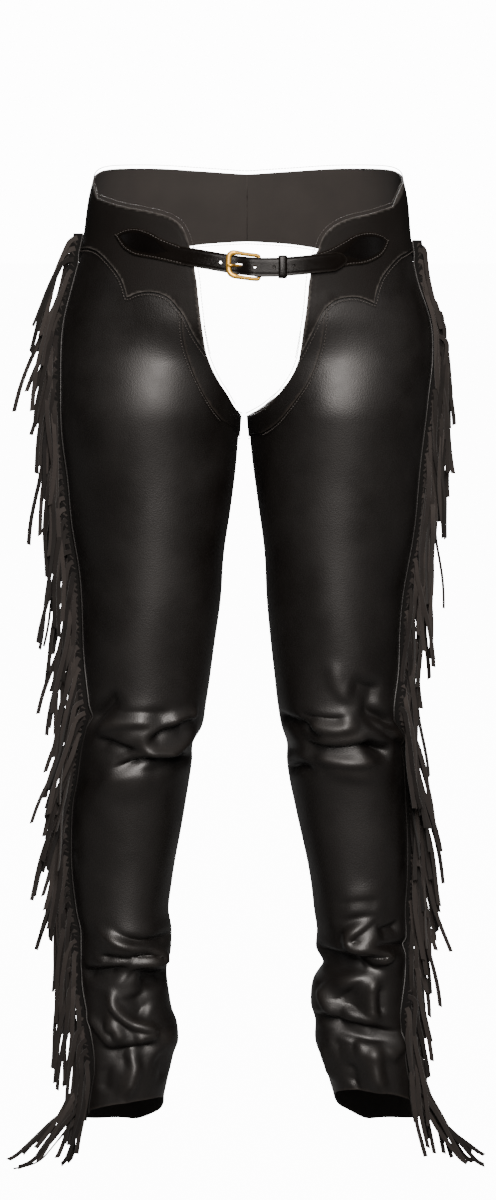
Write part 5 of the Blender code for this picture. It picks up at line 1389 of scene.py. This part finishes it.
def buckle_strap_piece():
    """The left strap, with its end turned round the bar and a slot there for the prong."""
    start = belt_height(TURN_START)
    outline = front_pattern([
        *curve(BUCKLE_LEAF_TOP, 2.0)[:-1],
        *belt_rail(BUCKLE_LEAF_START, TURN_START, BELT_HALF)[:-1],
        *[(TURN_START, start + z) for z in TURN_COLUMNS],
        *belt_rail(TURN_START, BUCKLE_LEAF_START, -BELT_HALF)[1:],
        *curve(BUCKLE_LEAF_LOW, 2.0)[-2:0:-1],
    ])
    points, triangles = cut_pattern([outline], BELT_STEP)
    pressed, inlaid, inlay, cut = strap_relief(LEFT, points, outline)
    outer = on_both_sides(points, ON_YOKE + STRAP - pressed)
    inner = on_both_sides(points, ON_YOKE)
    ends = front_pattern([(TURN_START, start + z) for z in TURN_COLUMNS])
    last = [int(np.linalg.norm(points - end, axis=1).argmin()) for end in ends]
    kinds = [2 if all(inlaid[t]) else 0 for t in triangles]
    added = []
    for number, (outer_x, outer_out, inner_x, inner_out) in enumerate(turned_end_rows()):
        first, shift = len(outer), belt_height(BAR_ACROSS)
        outer = np.vstack([outer, front_places([(outer_x, shift + z, outer_out) for z in TURN_COLUMNS])])
        inner = np.vstack([inner, front_places([(inner_x, shift + z, inner_out) for z in TURN_COLUMNS])])
        row = [first + k for k in range(len(TURN_COLUMNS))]
        for column in range(len(row) - 1):
            in_slot = max(abs(TURN_COLUMNS[column]), abs(TURN_COLUMNS[column + 1])) <= SLOT_HALF
            if in_slot and number < SLOT_END:
                continue
            a, b, c, d = last[column], last[column + 1], row[column + 1], row[column]
            added += [(a, b, c), (a, c, d)]
        last = row
    extra = len(outer) - len(points)
    fill = lambda values, value: np.concatenate([values, np.full(extra, value)])
    # The crest mark paints the slope round the inlay paler, and the end turned round the bar a little paler;
    # the edge mark paints the cut edges: wear, and painted highlight.
    crest_wear_and_highlight = np.exp(-(((inlay - 0.15) / 0.2) ** 2)) * (inlay > 0.01)
    marks = {"edge": fill(smoothstep(1 - cut / 1.3), 0.0), "crest_wear_and_highlight": fill(crest_wear_and_highlight, 0.3)}
    return leather_sheet(
        "belt_left_strap", outer, inner, np.vstack([triangles, added]),
        [belt_leather, leather_flesh, inlay_leather], marks, kinds + [0] * len(added),
    )


billet, buckle_strap = billet_piece(), buckle_strap_piece()
for strap, node in ((billet, "belt_billet"), (buckle_strap, "belt_buckle_strap")):
    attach(strap, "root")
    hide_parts(node)


def leaf_stitching(side, strap_points):
    """The stitches round a leaf, along its rim."""
    line = front_pattern(strap_points)
    placed = on_both_sides(line, ON_YOKE + STRAP)
    normals = outward(leather_face, side, np.abs(line[:, 0]) / CHART_WIDTH, line[:, 1])
    middle = placed.mean(axis=0)
    for turn in (1.9, -1.9):
        row = inset_row(placed, normals, turn)
        if np.linalg.norm(row - middle, axis=1).mean() < np.linalg.norm(placed - middle, axis=1).mean():
            return row, normals
    return placed, normals


leaf_rows = [
    leaf_stitching(RIGHT, [*curve(BILLET_LEAF_TOP, 2.0)[::-1], *curve(BILLET_LEAF_LOW, 2.0)[1:]]),
    leaf_stitching(LEFT, [*curve(BUCKLE_LEAF_TOP, 2.0)[::-1], *curve(BUCKLE_LEAF_LOW, 2.0)[1:]]),
]
leaf_stitches = sewn_rows("leaf_stitching", leaf_rows)
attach(leaf_stitches, "root")

# The keeper
#
# A narrow loop of polished strap leather, 1.4 mm thick and closed behind, holds the two straps together.


def keeper_piece():
    low, high = ON_YOKE - GAP, ON_STRAP + STRAP + GAP
    reach, crown = BELT_HALF + GAP + KEEPER_EASE, KEEPER_CROWN[1]
    middle, thick, corner = belt_height(KEEPER_ACROSS), KEEPER_THICK, 1.0
    path = []
    for centre_z, centre_out, start in (
        (reach - corner, high - corner, 0), (-reach + corner, high - corner, 90),
        (-reach + corner, low + corner, 180), (reach - corner, low + corner, 270),
    ):
        for step in range(5):
            angle = math.radians(start + 22.5 * step)
            path.append((centre_z, centre_out, math.cos(angle), math.sin(angle)))
    fine = []
    for (z, out, ca, sa), (z2, out2, ca2, sa2) in zip(path, [*path[1:], path[0]]):
        parts = 8 if abs(z2 - z) > 3 else 1
        for step in range(parts):
            t = step / parts
            fine.append((z + (z2 - z) * t, out + (out2 - out) * t, ca + (ca2 - ca) * t, sa + (sa2 - sa) * t))
    half = KEEPER_HALF_WIDTH
    section = [
        (-half, 0.25), (-half, thick - 0.45), (-half + 0.35, thick - 0.1), (-half * 0.5, thick + 0.12),
        (0.0, thick + 0.2), (half * 0.5, thick + 0.12), (half - 0.35, thick - 0.1), (half, thick - 0.45),
        (half, 0.25), (half - 0.3, 0.0), (-half + 0.3, 0.0),
    ]
    points = []
    for z, out, up, away in fine:
        bulge = crown * max(0.0, 1 - (z / reach) ** 2) * (1 if away > 0.5 else 0)
        for across, rise in section:
            grow = corner + rise
            points.append((KEEPER_ACROSS + across, middle + z + up * grow, out + away * grow + bulge))
    faces = tube_faces(0, len(fine), len(section), closed=True)
    return link_mesh("belt_keeper_loop", front_places(points), faces, [polished_leather])


polished_leather = leather(
    "polished_leather", (0.002, 0.0015, 0.0012), (0.0035, 0.0027, 0.0022), (0.012, 0.0098, 0.0082),
    0.27, 0.0, 0.00008,
    cells=1500.0, wrinkles=0.1, wear_and_highlight=(0.0, 0.0), gloss=0.09,
)
keeper = keeper_piece()
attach(keeper, "root")
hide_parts("belt_keeper")

# The buckle
#
# A cast brass frame, thicker at its round front than along its sides, with a bar inside the left strap's
# turned end. The prong is brass wire: an eye bent round the bar, and a shank up through the belt that rests
# on the frame.
FRAME_AROUND = 20
PRONG_AROUND = 14
# How much thicker the prong's shank is where it lies over the belt.
PRONG_SWELL = 0.35
# How thick the frame is, in and out of its own plane: at the bar, along the sides and at the front.
FRAME_THICKNESS = ((0.0, 2.0, 1.8), (0.18, 1.95, 1.7), (0.6, 2.05, 1.75), (0.86, 2.6, 1.9), (1.0, 2.75, 1.9))


def brass_material():
    """Yellow brass, a little tarnished in patches that are darker and rougher, and finely scratched."""
    material, tree, shader = new_material("buckle_brass", {"Metallic": 0.85})
    place = add_node(tree, "ShaderNodeTexCoord")
    tarnish = add_node(tree, "ShaderNodeTexNoise", {}, {"Scale": 240.0, "Detail": 6.0, "Roughness": 0.65})
    scratches = add_node(tree, "ShaderNodeTexNoise", {}, {"Scale": 1500.0, "Detail": 3.0, "Distortion": 1.2})
    stretch = add_node(tree, "ShaderNodeMapping", {}, {"Scale": (1.0, 1.0, 0.18)})
    mask = add_node(tree, "ShaderNodeMapRange", {}, {"From Min": 0.42, "From Max": 0.68})
    shade = two_shades(tree, (0.62, 0.34, 0.05), (0.38, 0.2, 0.035))
    rough = add_node(
        tree, "ShaderNodeMapRange", {}, {"From Min": 0.3, "From Max": 0.75, "To Min": 0.34, "To Max": 0.55}
    )
    bump = add_node(tree, "ShaderNodeBump", {}, {"Strength": 0.25, "Distance": 0.00008})
    link_all(
        tree,
        (place, "Object", tarnish, "Vector"), (place, "Object", stretch, "Vector"),
        (stretch, "Vector", scratches, "Vector"), (tarnish, "Fac", mask, "Value"), (mask, "Result", shade, 0),
        (shade, 2, shader, "Base Color"), (tarnish, "Fac", rough, "Value"),
        (rough, "Result", shader, "Roughness"), (scratches, "Fac", bump, "Height"),
        (bump, "Normal", shader, "Normal"),
    )
    return material


buckle_brass = brass_material()


def bent_bar(name, line, wide, thick, facing, around, closed, material):
    """A bar of oval section along a line, wide across the way it faces and thick along it."""
    line = np.array(line, float)
    if closed:
        ahead, behind = np.roll(line, -1, axis=0), np.roll(line, 1, axis=0)
    else:
        ahead, behind = np.vstack([line[1:], line[-1:]]), np.vstack([line[:1], line[:-1]])
    along = unit(ahead - behind)
    facing = unit(facing - along * (facing * along).sum(axis=1)[:, None])
    across = np.cross(along, facing)
    points = []
    for k in range(len(line)):
        for j in range(around):
            angle = 2 * math.pi * j / around
            sideways, outwards = wide[k] * math.cos(angle), thick[k] * math.sin(angle)
            points.append(line[k] + sideways * across[k] + outwards * facing[k])
    faces = tube_faces(0, len(line), around, closed, turned=True)
    return link_mesh(name, points, faces, [material])


def buckle_frame():
    bar_out = ON_YOKE - FRAME_WIRE - GAP
    front_out = ON_YOKE + STRAP + GAP + FRAME_WIRE
    length = BAR_ACROSS - FRAME_FRONT_ACROSS - FRAME_CORNER
    upper = [(BAR_ACROSS, 0.0), (BAR_ACROSS, FRAME_HALF * 0.5), (BAR_ACROSS, FRAME_HALF - FRAME_BEND)]
    upper += [(BAR_ACROSS - FRAME_BEND, FRAME_HALF)]
    upper += [(BAR_ACROSS - FRAME_BEND - reach, FRAME_HALF + 0.25) for reach in np.linspace(5, 19, 5)]
    for k in range(7):
        angle = math.pi / 2 + math.pi / 2 * k / 6
        upper.append((
            FRAME_FRONT_ACROSS + FRAME_CORNER + FRAME_CORNER * math.cos(angle),
            FRAME_HALF - FRAME_CORNER + FRAME_CORNER * math.sin(angle),
        ))
    upper += [(FRAME_FRONT_ACROSS - 0.2, FRAME_HALF * 0.25), (FRAME_FRONT_ACROSS - 0.3, 0.0)]
    lower = [(x, -z) for x, z in upper[-2:0:-1]]
    outline = curve([*upper, *lower, upper[0]], 0.9)[:-1]
    line = []
    for x, z in outline:
        share = min(1.0, (BAR_ACROSS - x) / length)
        line.append((x, belt_height(x) + z, bar_out + share * (front_out - bar_out)))
    line = front_places(line)
    share = np.clip((BAR_ACROSS - outline[:, 0]) / (BAR_ACROSS - FRAME_FRONT_ACROSS), 0, 1)
    sizes = smooth(np.array(FRAME_THICKNESS), share)
    facing = np.tile((0.0, -1.0, 0.0), (len(line), 1))
    wide, thick = sizes.T
    return bent_bar("buckle_cast_frame", line, wide, thick, facing, FRAME_AROUND, True, buckle_brass)


def buckle_prong():
    bar_out, middle = ON_YOKE - FRAME_WIRE - GAP, belt_height(PRONG_MIDDLE)
    eye = FRAME_WIRE + GAP + PRONG_WIRE
    stations = []
    for k in range(13):
        angle = math.radians(-150 + k * 25)
        stations.append((BAR_ACROSS + eye * math.cos(angle), bar_out + eye * math.sin(angle), PRONG_WIRE))
    for x, out, radius in PRONG_SHANK:
        stations.append((x, ON_YOKE + out, max(radius, 1.0) + PRONG_SWELL * (x < -10)))
    fine = curve(stations, 0.7)
    line = front_places([(x, middle, out) for x, out, _ in fine])
    facing = np.cross(unit(np.gradient(line, axis=0)), (0.0, 0.0, 1.0))
    ending = np.linspace(len(fine) - 1, 0, len(fine))
    radius = fine[:, 2] * np.clip(0.35 + ending / 3, 0, 1) ** 0.5
    flat = radius * 0.92
    return bent_bar("buckle_prong_wire", line, radius, flat, facing, PRONG_AROUND, False, buckle_brass)


buckle_parts = ((buckle_frame(), "buckle_frame"), (buckle_prong(), "buckle_prong"))
for part, node in buckle_parts:
    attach(part, "root")
    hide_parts(node)

# The seams and fringes
#
# A piped seam runs down the outside of each leg. In it is held a strip of suede split, 1.35 mm thick, whose
# outer part is slit into long thongs. They come out stiffly, then bend over, and twist and hang by their
# own weight.
STRIP_REACH = 5.0
STRIP_CLEAR = 0.3
FRINGE_TOP = {RIGHT: 29.0, LEFT: 22.0}
FRINGE_BOTTOM = {RIGHT: -899.0, LEFT: -893.0}
# The height at which the strip starts to step up onto the yoke, and over how much height it does.
STRIP_STEP = (-2.0, 14.0)
# Columns: height of the root, how far the thong leans out for each millimetre down, and its length.
HANG = {
    RIGHT: np.array([
        (40, 0.34, 96), (-30, 0.26, 112), (-80, 0.10, 116), (-119, 0.0, 112), (-214, 0.03, 112),
        (-255, 0.05, 112), (-310, 0.12, 112), (-407, 0.20, 114), (-447, 0.22, 112), (-511, 0.30, 112),
        (-576, 0.18, 112), (-646, 0.05, 112), (-709, 0.10, 112), (-782, 0.03, 110), (-830, 0.12, 104),
        (-860, 0.6, 92), (-900, 1.6, 80),
    ]),
    LEFT: np.array([
        (40, 0.14, 70), (-30, 0.04, 108), (-65, 0.02, 112), (-116, 0.08, 112), (-138, 0.03, 112),
        (-220, 0.0, 112), (-372, 0.0, 112), (-447, 0.10, 112), (-481, 0.18, 112), (-524, 0.15, 112),
        (-606, 0.14, 112), (-727, 0.11, 112), (-766, 0.06, 110), (-820, 0.12, 104), (-855, 0.6, 92),
        (-895, 1.4, 78),
    ]),
}
WELT = 1.15
WELT_AHEAD = 2.4
WELT_AROUND = 10
THONGS = 166
THONG_SEGMENTS = 20
THONG_SIZES = (4.7, 4.3, 1.35)
ROOT_WIDTH = 4.9
# How far the strip runs on behind the roots of the thongs, and its thickness against theirs; painted darkest,
# it is painted shade in the gaps between the roots.
STRIP_BACKING = (5.0, 0.5)
# The height at which the longest thongs lie along the ground, the height above it over which they turn to
# lie outward, and how strongly they do.
GROUND = -948.0
GROUND_EASE = 14.0
GROUND_SPREAD = 0.9
# The length over which a thong moves to the front or the back of the strip, and how far it moves: the least,
# and the most beyond that.
LANE_RUN = 26.0
LANES = (3.5, 10.0)
# The length that a thong's bend takes: the least, and the most beyond that.
BENDS = (3.0, 22.0)
# How far off the leg a thong is kept, the most that one step moves it, and how much of its root stays.
THONG_CLEARANCE = 1.5
THONG_MOVE = 2.2
THONG_ROOT = 6.0
# The leg's rings are this far apart.
RING_STEP = 6.0
# Steps that are drawn up into one segment of a thong.
STEPS_A_SEGMENT = 3


def suede_material():
    """Grey-brown suede: a nap that catches the light at grazing angles, clouded and darker in places. Each
    thong has its own tone, and the strip behind their roots is painted in the darkest colour as painted
    shade.
    """
    material, tree, shader = new_material("fringe_suede", {
        "Roughness": 0.85, "Specular IOR Level": 0.12, "Sheen Weight": 0.08, "Sheen Roughness": 0.5,
    })
    place = add_node(tree, "ShaderNodeTexCoord")
    # Each thong's own tone; on the strip it is -1, which paints the strip darkest as painted shade.
    own = add_node(tree, "ShaderNodeAttribute", {"attribute_name": "thong_tone_and_painted_strip_shade"})
    nap = add_node(tree, "ShaderNodeTexNoise", {}, {"Scale": 1300.0, "Detail": 4.0, "Roughness": 0.75})
    cloud = add_node(tree, "ShaderNodeTexNoise", {}, {"Scale": 70.0, "Detail": 5.0, "Roughness": 0.6})
    both = add_node(tree, "ShaderNodeMath", {"operation": "MULTIPLY_ADD", "use_clamp": True}, {1: 0.35})
    shade = two_shades(tree, (0.0015, 0.0012, 0.001), (0.024, 0.0202, 0.0183))
    bump = add_node(tree, "ShaderNodeBump", {}, {"Strength": 0.7, "Distance": 0.0003})
    own_part = add_node(tree, "ShaderNodeMath", {"operation": "MULTIPLY"}, {1: 0.75})
    link_all(
        tree,
        (place, "Object", nap, "Vector"), (place, "Object", cloud, "Vector"), (cloud, "Fac", both, 0),
        (own, "Fac", own_part, 0), (own_part, 0, both, 2), (both, 0, shade, 0),
        (shade, 2, shader, "Base Color"),
        (nap, "Fac", bump, "Height"), (bump, "Normal", shader, "Normal"),
    )
    return material


fringe_suede = suede_material()


def seam_frames(side, heights):
    """For each height: where the strip comes out of the seam, the way out, and the way round."""
    turns = smooth(SEAMS[side], heights)[:, 0]
    over_yoke = smoothstep((heights - STRIP_STEP[0]) / STRIP_STEP[1])
    feet = on_leather(side, turns, heights, ON_LEG + STRIP_CLEAR + over_yoke * (YOKE + GAP))
    out = outward(worn_form, side, turns, heights) + np.array([side * 1.0, 0.0, 0.0])
    out[:, 2] = 0
    out = unit(out)
    return feet, out, np.cross(out, (0.0, 0.0, 1.0))


def leg_rings(side):
    """The leg's outer side near the seam, as rings of points at close heights, with the way out at each."""
    heights = np.arange(GROUND, 100.0, RING_STEP)
    turns = np.linspace(0.28, 0.72, 45)
    turn, height = np.meshgrid(turns, heights)
    placed = on_leather(side, turn, height, ON_YOKE + 1.0)
    return heights, placed, outward(worn_form, side, turn, height)


def hang_thongs(side, chance):
    """Every thong's centre line, the way its width lies, and a number that sets its shade."""
    pitch = (FRINGE_TOP[side] - FRINGE_BOTTOM[side]) / THONGS
    roots = FRINGE_TOP[side] - pitch * (np.arange(THONGS) + 0.5)
    feet, outs, rounds = seam_frames(side, roots)
    leans, lengths = smooth(HANG[side], roots).T
    ring_heights, rings, ring_outs = leg_rings(side)
    wander = np.clip(chance.normal(size=(THONGS, 8)), -2, 2)
    lines, wides = [], []
    for k in range(THONGS):
        lane = (1 if k % 2 else -1) * (LANES[0] + LANES[1] * chance.random())
        clump = 0.05 * math.sin(0.55 * k + 1.0) + 0.03 * math.sin(0.23 * k)
        lean = leans[k] * (1 + 0.12 * wander[k, 2]) + clump + 0.05 * wander[k, 3]
        length = lengths[k] * (1 + 0.07 * wander[k, 4]) + 4.0
        bend = BENDS[0] + BENDS[1] * chance.random() ** 2.2
        count = THONG_SEGMENTS * STEPS_A_SEGMENT
        step = length / count
        rise = math.radians(-12 + 9 * wander[k, 6])
        final = -(math.pi / 2 - math.atan(lean))
        place = feet[k] + outs[k] * STRIP_REACH
        line = [place.copy()]
        for i in range(count):
            s = (i + 0.5) * step
            angle = rise + (final - rise) * smoothstep(s / bend)
            angle += 0.10 * math.sin(s / 21.0 + wander[k, 7] * 3) * (s > bend)
            sway = 0.06 * math.sin(s / 27.0 + wander[k, 0] * 3)
            if s < LANE_RUN:
                sway += lane / LANE_RUN * 6 * (s / LANE_RUN) * (1 - s / LANE_RUN)
            way = outs[k] * math.cos(angle) + np.array([0, 0, math.sin(angle)]) + rounds[k] * sway
            room = (place[2] - GROUND) / GROUND_EASE
            if way[2] < 0 and room < 1.0:
                way[2] *= max(0.0, room)
                way += outs[k] * (1 - max(0.0, room)) * GROUND_SPREAD
            place = place + unit(way) * step
            level = int(np.clip(round((place[2] - ring_heights[0]) / RING_STEP), 0, len(ring_heights) - 1))
            near = int(np.linalg.norm(rings[level] - place, axis=1).argmin())
            depth = float(np.dot(place - rings[level][near], ring_outs[level][near]))
            if depth < THONG_CLEARANCE and s > THONG_ROOT:
                place = place + ring_outs[level][near] * min(THONG_CLEARANCE - depth, THONG_MOVE)
            line.append(place.copy())
        line = np.array(line)
        for _ in range(6):
            line[2:-1] = (line[1:-2] + line[2:-1] * 2 + line[3:]) / 4
        line = line[::STEPS_A_SEGMENT]
        lines.append(line)
        along = unit(np.gradient(line, axis=0))
        upright = unit(np.cross(rounds[k], along))
        flat = unit(np.cross(along, upright))
        share = np.linspace(0, 1, len(line))
        twist = 0.6 * wander[k, 2] * smoothstep((share * length - bend) / 40.0)
        wides.append(np.cos(twist)[:, None] * upright + np.sin(twist)[:, None] * flat)
    return lines, wides, chance.random(THONGS)


def fringe_piece(side):
    """One fringe: a strip down the outer seam whose outer edge runs on into the thongs. The strip, which runs
    on behind the roots, is painted darkest: painted shade beside the seam and in the gaps between the roots.
    """
    chance = np.random.default_rng(31 if side == RIGHT else 47)
    lines, wides, shades = hang_thongs(side, chance)
    width, end_width, thick = THONG_SIZES
    points, faces, shade = [], [], []
    for line, wide, own in zip(lines, wides, shades):
        first = len(points)
        along = unit(np.gradient(line, axis=0))
        through = unit(np.cross(along, wide))
        count = len(line)
        for k in range(count):
            share = k / (count - 1)
            half = (width + (end_width - width) * share) / 2 * (1 + 0.05 * math.sin(9 * share + 40 * own))
            half += (ROOT_WIDTH - width) / 2 * (1 - smoothstep(share / 0.16))
            skew = along[k] * (own - 0.5) * 3.0 * (k == count - 1)
            for a, b in ((1, 1), (1, -1), (-1, -1), (-1, 1)):
                points.append(line[k] + wide[k] * half * a + through[k] * thick / 2 * b + skew * a)
                shade.append(own)
        faces += tube_faces(first, count, 4, turned=True)
    heights = np.linspace(FRINGE_TOP[side] + 2.0, FRINGE_BOTTOM[side] - 2.0, 320)
    feet, out, round_it = seam_frames(side, heights)
    first = len(points)
    for foot, way, turn in zip(feet, out, round_it):
        half, edge = turn * thick * STRIP_BACKING[1] / 2, foot + way * (STRIP_REACH + STRIP_BACKING[0])
        points += [foot - half, foot + half, edge + half, edge - half]
        # The strip gets the darkest colour: painted shade.
        shade += [-1.0] * 4
    faces += tube_faces(first, len(heights), 4)
    piece = link_mesh(f"fringe_thongs_{SIDE_NAMES[side]}", points, faces, [fringe_suede])
    mark = piece.data.attributes.new("thong_tone_and_painted_strip_shade", "FLOAT", "POINT")
    mark.data.foreach_set("value", np.array(shade, np.float32))
    piece.data.set_sharp_from_angle(angle=math.radians(38))
    return piece


def welt_piece(side):
    """The piping along the seam, in front of the strip."""
    heights = np.linspace(FRINGE_TOP[side] + 1.0, FRINGE_BOTTOM[side] + 6.0, 420)
    over_yoke = smoothstep((heights - STRIP_STEP[0]) / STRIP_STEP[1])
    girth = girth_at(side, heights)
    turns = smooth(SEAMS[side], heights)[:, 0] - WELT_AHEAD / girth
    line = on_leather(side, turns, heights, LEG_WALL + WELT * 0.7 + over_yoke * (YOKE + GAP))
    facing = outward(leather_face, side, turns, heights)
    size = np.full(len(line), WELT)
    name = f"seam_piping_{SIDE_NAMES[side]}"
    return bent_bar(name, line, size, size, facing, WELT_AROUND, False, leg_leather)


fringes = {side: fringe_piece(side) for side in (RIGHT, LEFT)}
welts = {side: welt_piece(side) for side in (RIGHT, LEFT)}
for side in (RIGHT, LEFT):
    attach(fringes[side], "root")
    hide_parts(f"fringe_{SIDE_NAMES[side]}")
    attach(welts[side], "root")

# The studio
#
# The chaps hang just clear of a plain pale floor. A broad soft lamp stands in front and one behind, with
# weak ones at the sides and above. Floor and backdrop are bright to the camera only, so that they light the
# leather little.


def floor_piece():
    """A pale floor that the camera sees as white, while what it throws back on the leather stays low."""
    mesh = bpy.data.meshes.new("studio_floor")
    reach, level = 40.0, (GROUND - 2.0) * METRES
    corners = [(x * reach, y * reach, level) for x, y in ((-1, -1), (1, -1), (1, 1), (-1, 1))]
    mesh.from_pydata(corners, [], [(0, 1, 2, 3)])
    material, tree, shader = new_material("pale_floor", {
        "Emission Color": (1.0, 1.0, 1.0, 1.0), "Roughness": 0.9,
    })
    place = add_node(tree, "ShaderNodeTexCoord")
    soft = add_node(tree, "ShaderNodeTexNoise", {}, {"Scale": 3.0, "Detail": 3.0})
    shade = two_shades(tree, (0.14, 0.14, 0.14), (0.16, 0.16, 0.159))
    seen = add_node(tree, "ShaderNodeLightPath")
    bright = add_node(tree, "ShaderNodeMath", {"operation": "MULTIPLY"}, {1: 13.0})
    link_all(
        tree,
        (place, "Object", soft, "Vector"), (soft, "Fac", shade, 0), (shade, 2, shader, "Base Color"),
        (seen, "Is Camera Ray", bright, 0), (bright, 0, shader, "Emission Strength"),
    )
    mesh.materials.append(material)
    floor = bpy.data.objects.new("studio_floor", mesh)
    bpy.context.scene.collection.objects.link(floor)
    return floor


floor_piece()


def softbox(name, place, target, width, height, power, tint=(1.0, 1.0, 1.0)):
    """A soft lamp, in metres and watts, that faces a target."""
    lamp = bpy.data.lights.new(name, "AREA")
    lamp.shape, lamp.size, lamp.size_y = "RECTANGLE", width, height
    lamp.energy, lamp.color = power, tint
    made = bpy.data.objects.new(name, lamp)
    made.location = place
    made.rotation_euler = (Vector(target) - Vector(place)).to_track_quat("-Z", "Y").to_euler()
    bpy.context.scene.collection.objects.link(made)


softbox("front_light", (0.25, -3.0, 1.55), (0.0, 0.0, -0.35), 0.95, 2.4, 330.0, (1.0, 0.94, 0.9))
softbox("left_light", (2.6, -0.9, 0.5), (0.0, 0.0, -0.4), 0.6, 1.8, 3.0)
softbox("right_light", (-2.6, -0.9, 0.5), (0.0, 0.0, -0.4), 0.6, 1.8, 2.5)
softbox("top_light", (0.0, 0.6, 2.6), (0.0, 0.0, -0.4), 1.4, 1.4, 5.0)
softbox("back_light", (-0.5, 3.2, 1.5), (0.0, 0.0, -0.35), 1.0, 2.0, 170.0)

surroundings = bpy.data.worlds.new("studio")
surroundings.use_nodes = True
sky = surroundings.node_tree
backdrop = add_node(sky, "ShaderNodeBackground", {}, {"Color": (1.0, 1.0, 1.0, 1.0), "Strength": 14.0})
fill_light = sky.nodes["Background"]
fill_light.inputs["Color"].default_value = (1.0, 1.0, 1.0, 1.0)
fill_light.inputs["Strength"].default_value = 0.014
ray = add_node(sky, "ShaderNodeLightPath")
seen = add_node(sky, "ShaderNodeMixShader")
link_all(
    sky,
    (ray, "Is Camera Ray", seen, 0), (fill_light, 0, seen, 1), (backdrop, 0, seen, 2),
    (seen, 0, sky.nodes["World Output"], "Surface"),
)
bpy.context.scene.world = surroundings

camera = bpy.data.objects.new("camera", bpy.data.cameras.new("camera"))
camera.data.lens = FOCAL_LENGTH
camera.data.sensor_width = 36.0
camera.location = CAMERA_PLACE * METRES
aim = Vector(CAMERA_AIM * METRES)
camera.rotation_euler = (aim - camera.location).to_track_quat("-Z", "Y").to_euler()
bpy.context.scene.collection.objects.link(camera)
bpy.context.scene.camera = camera
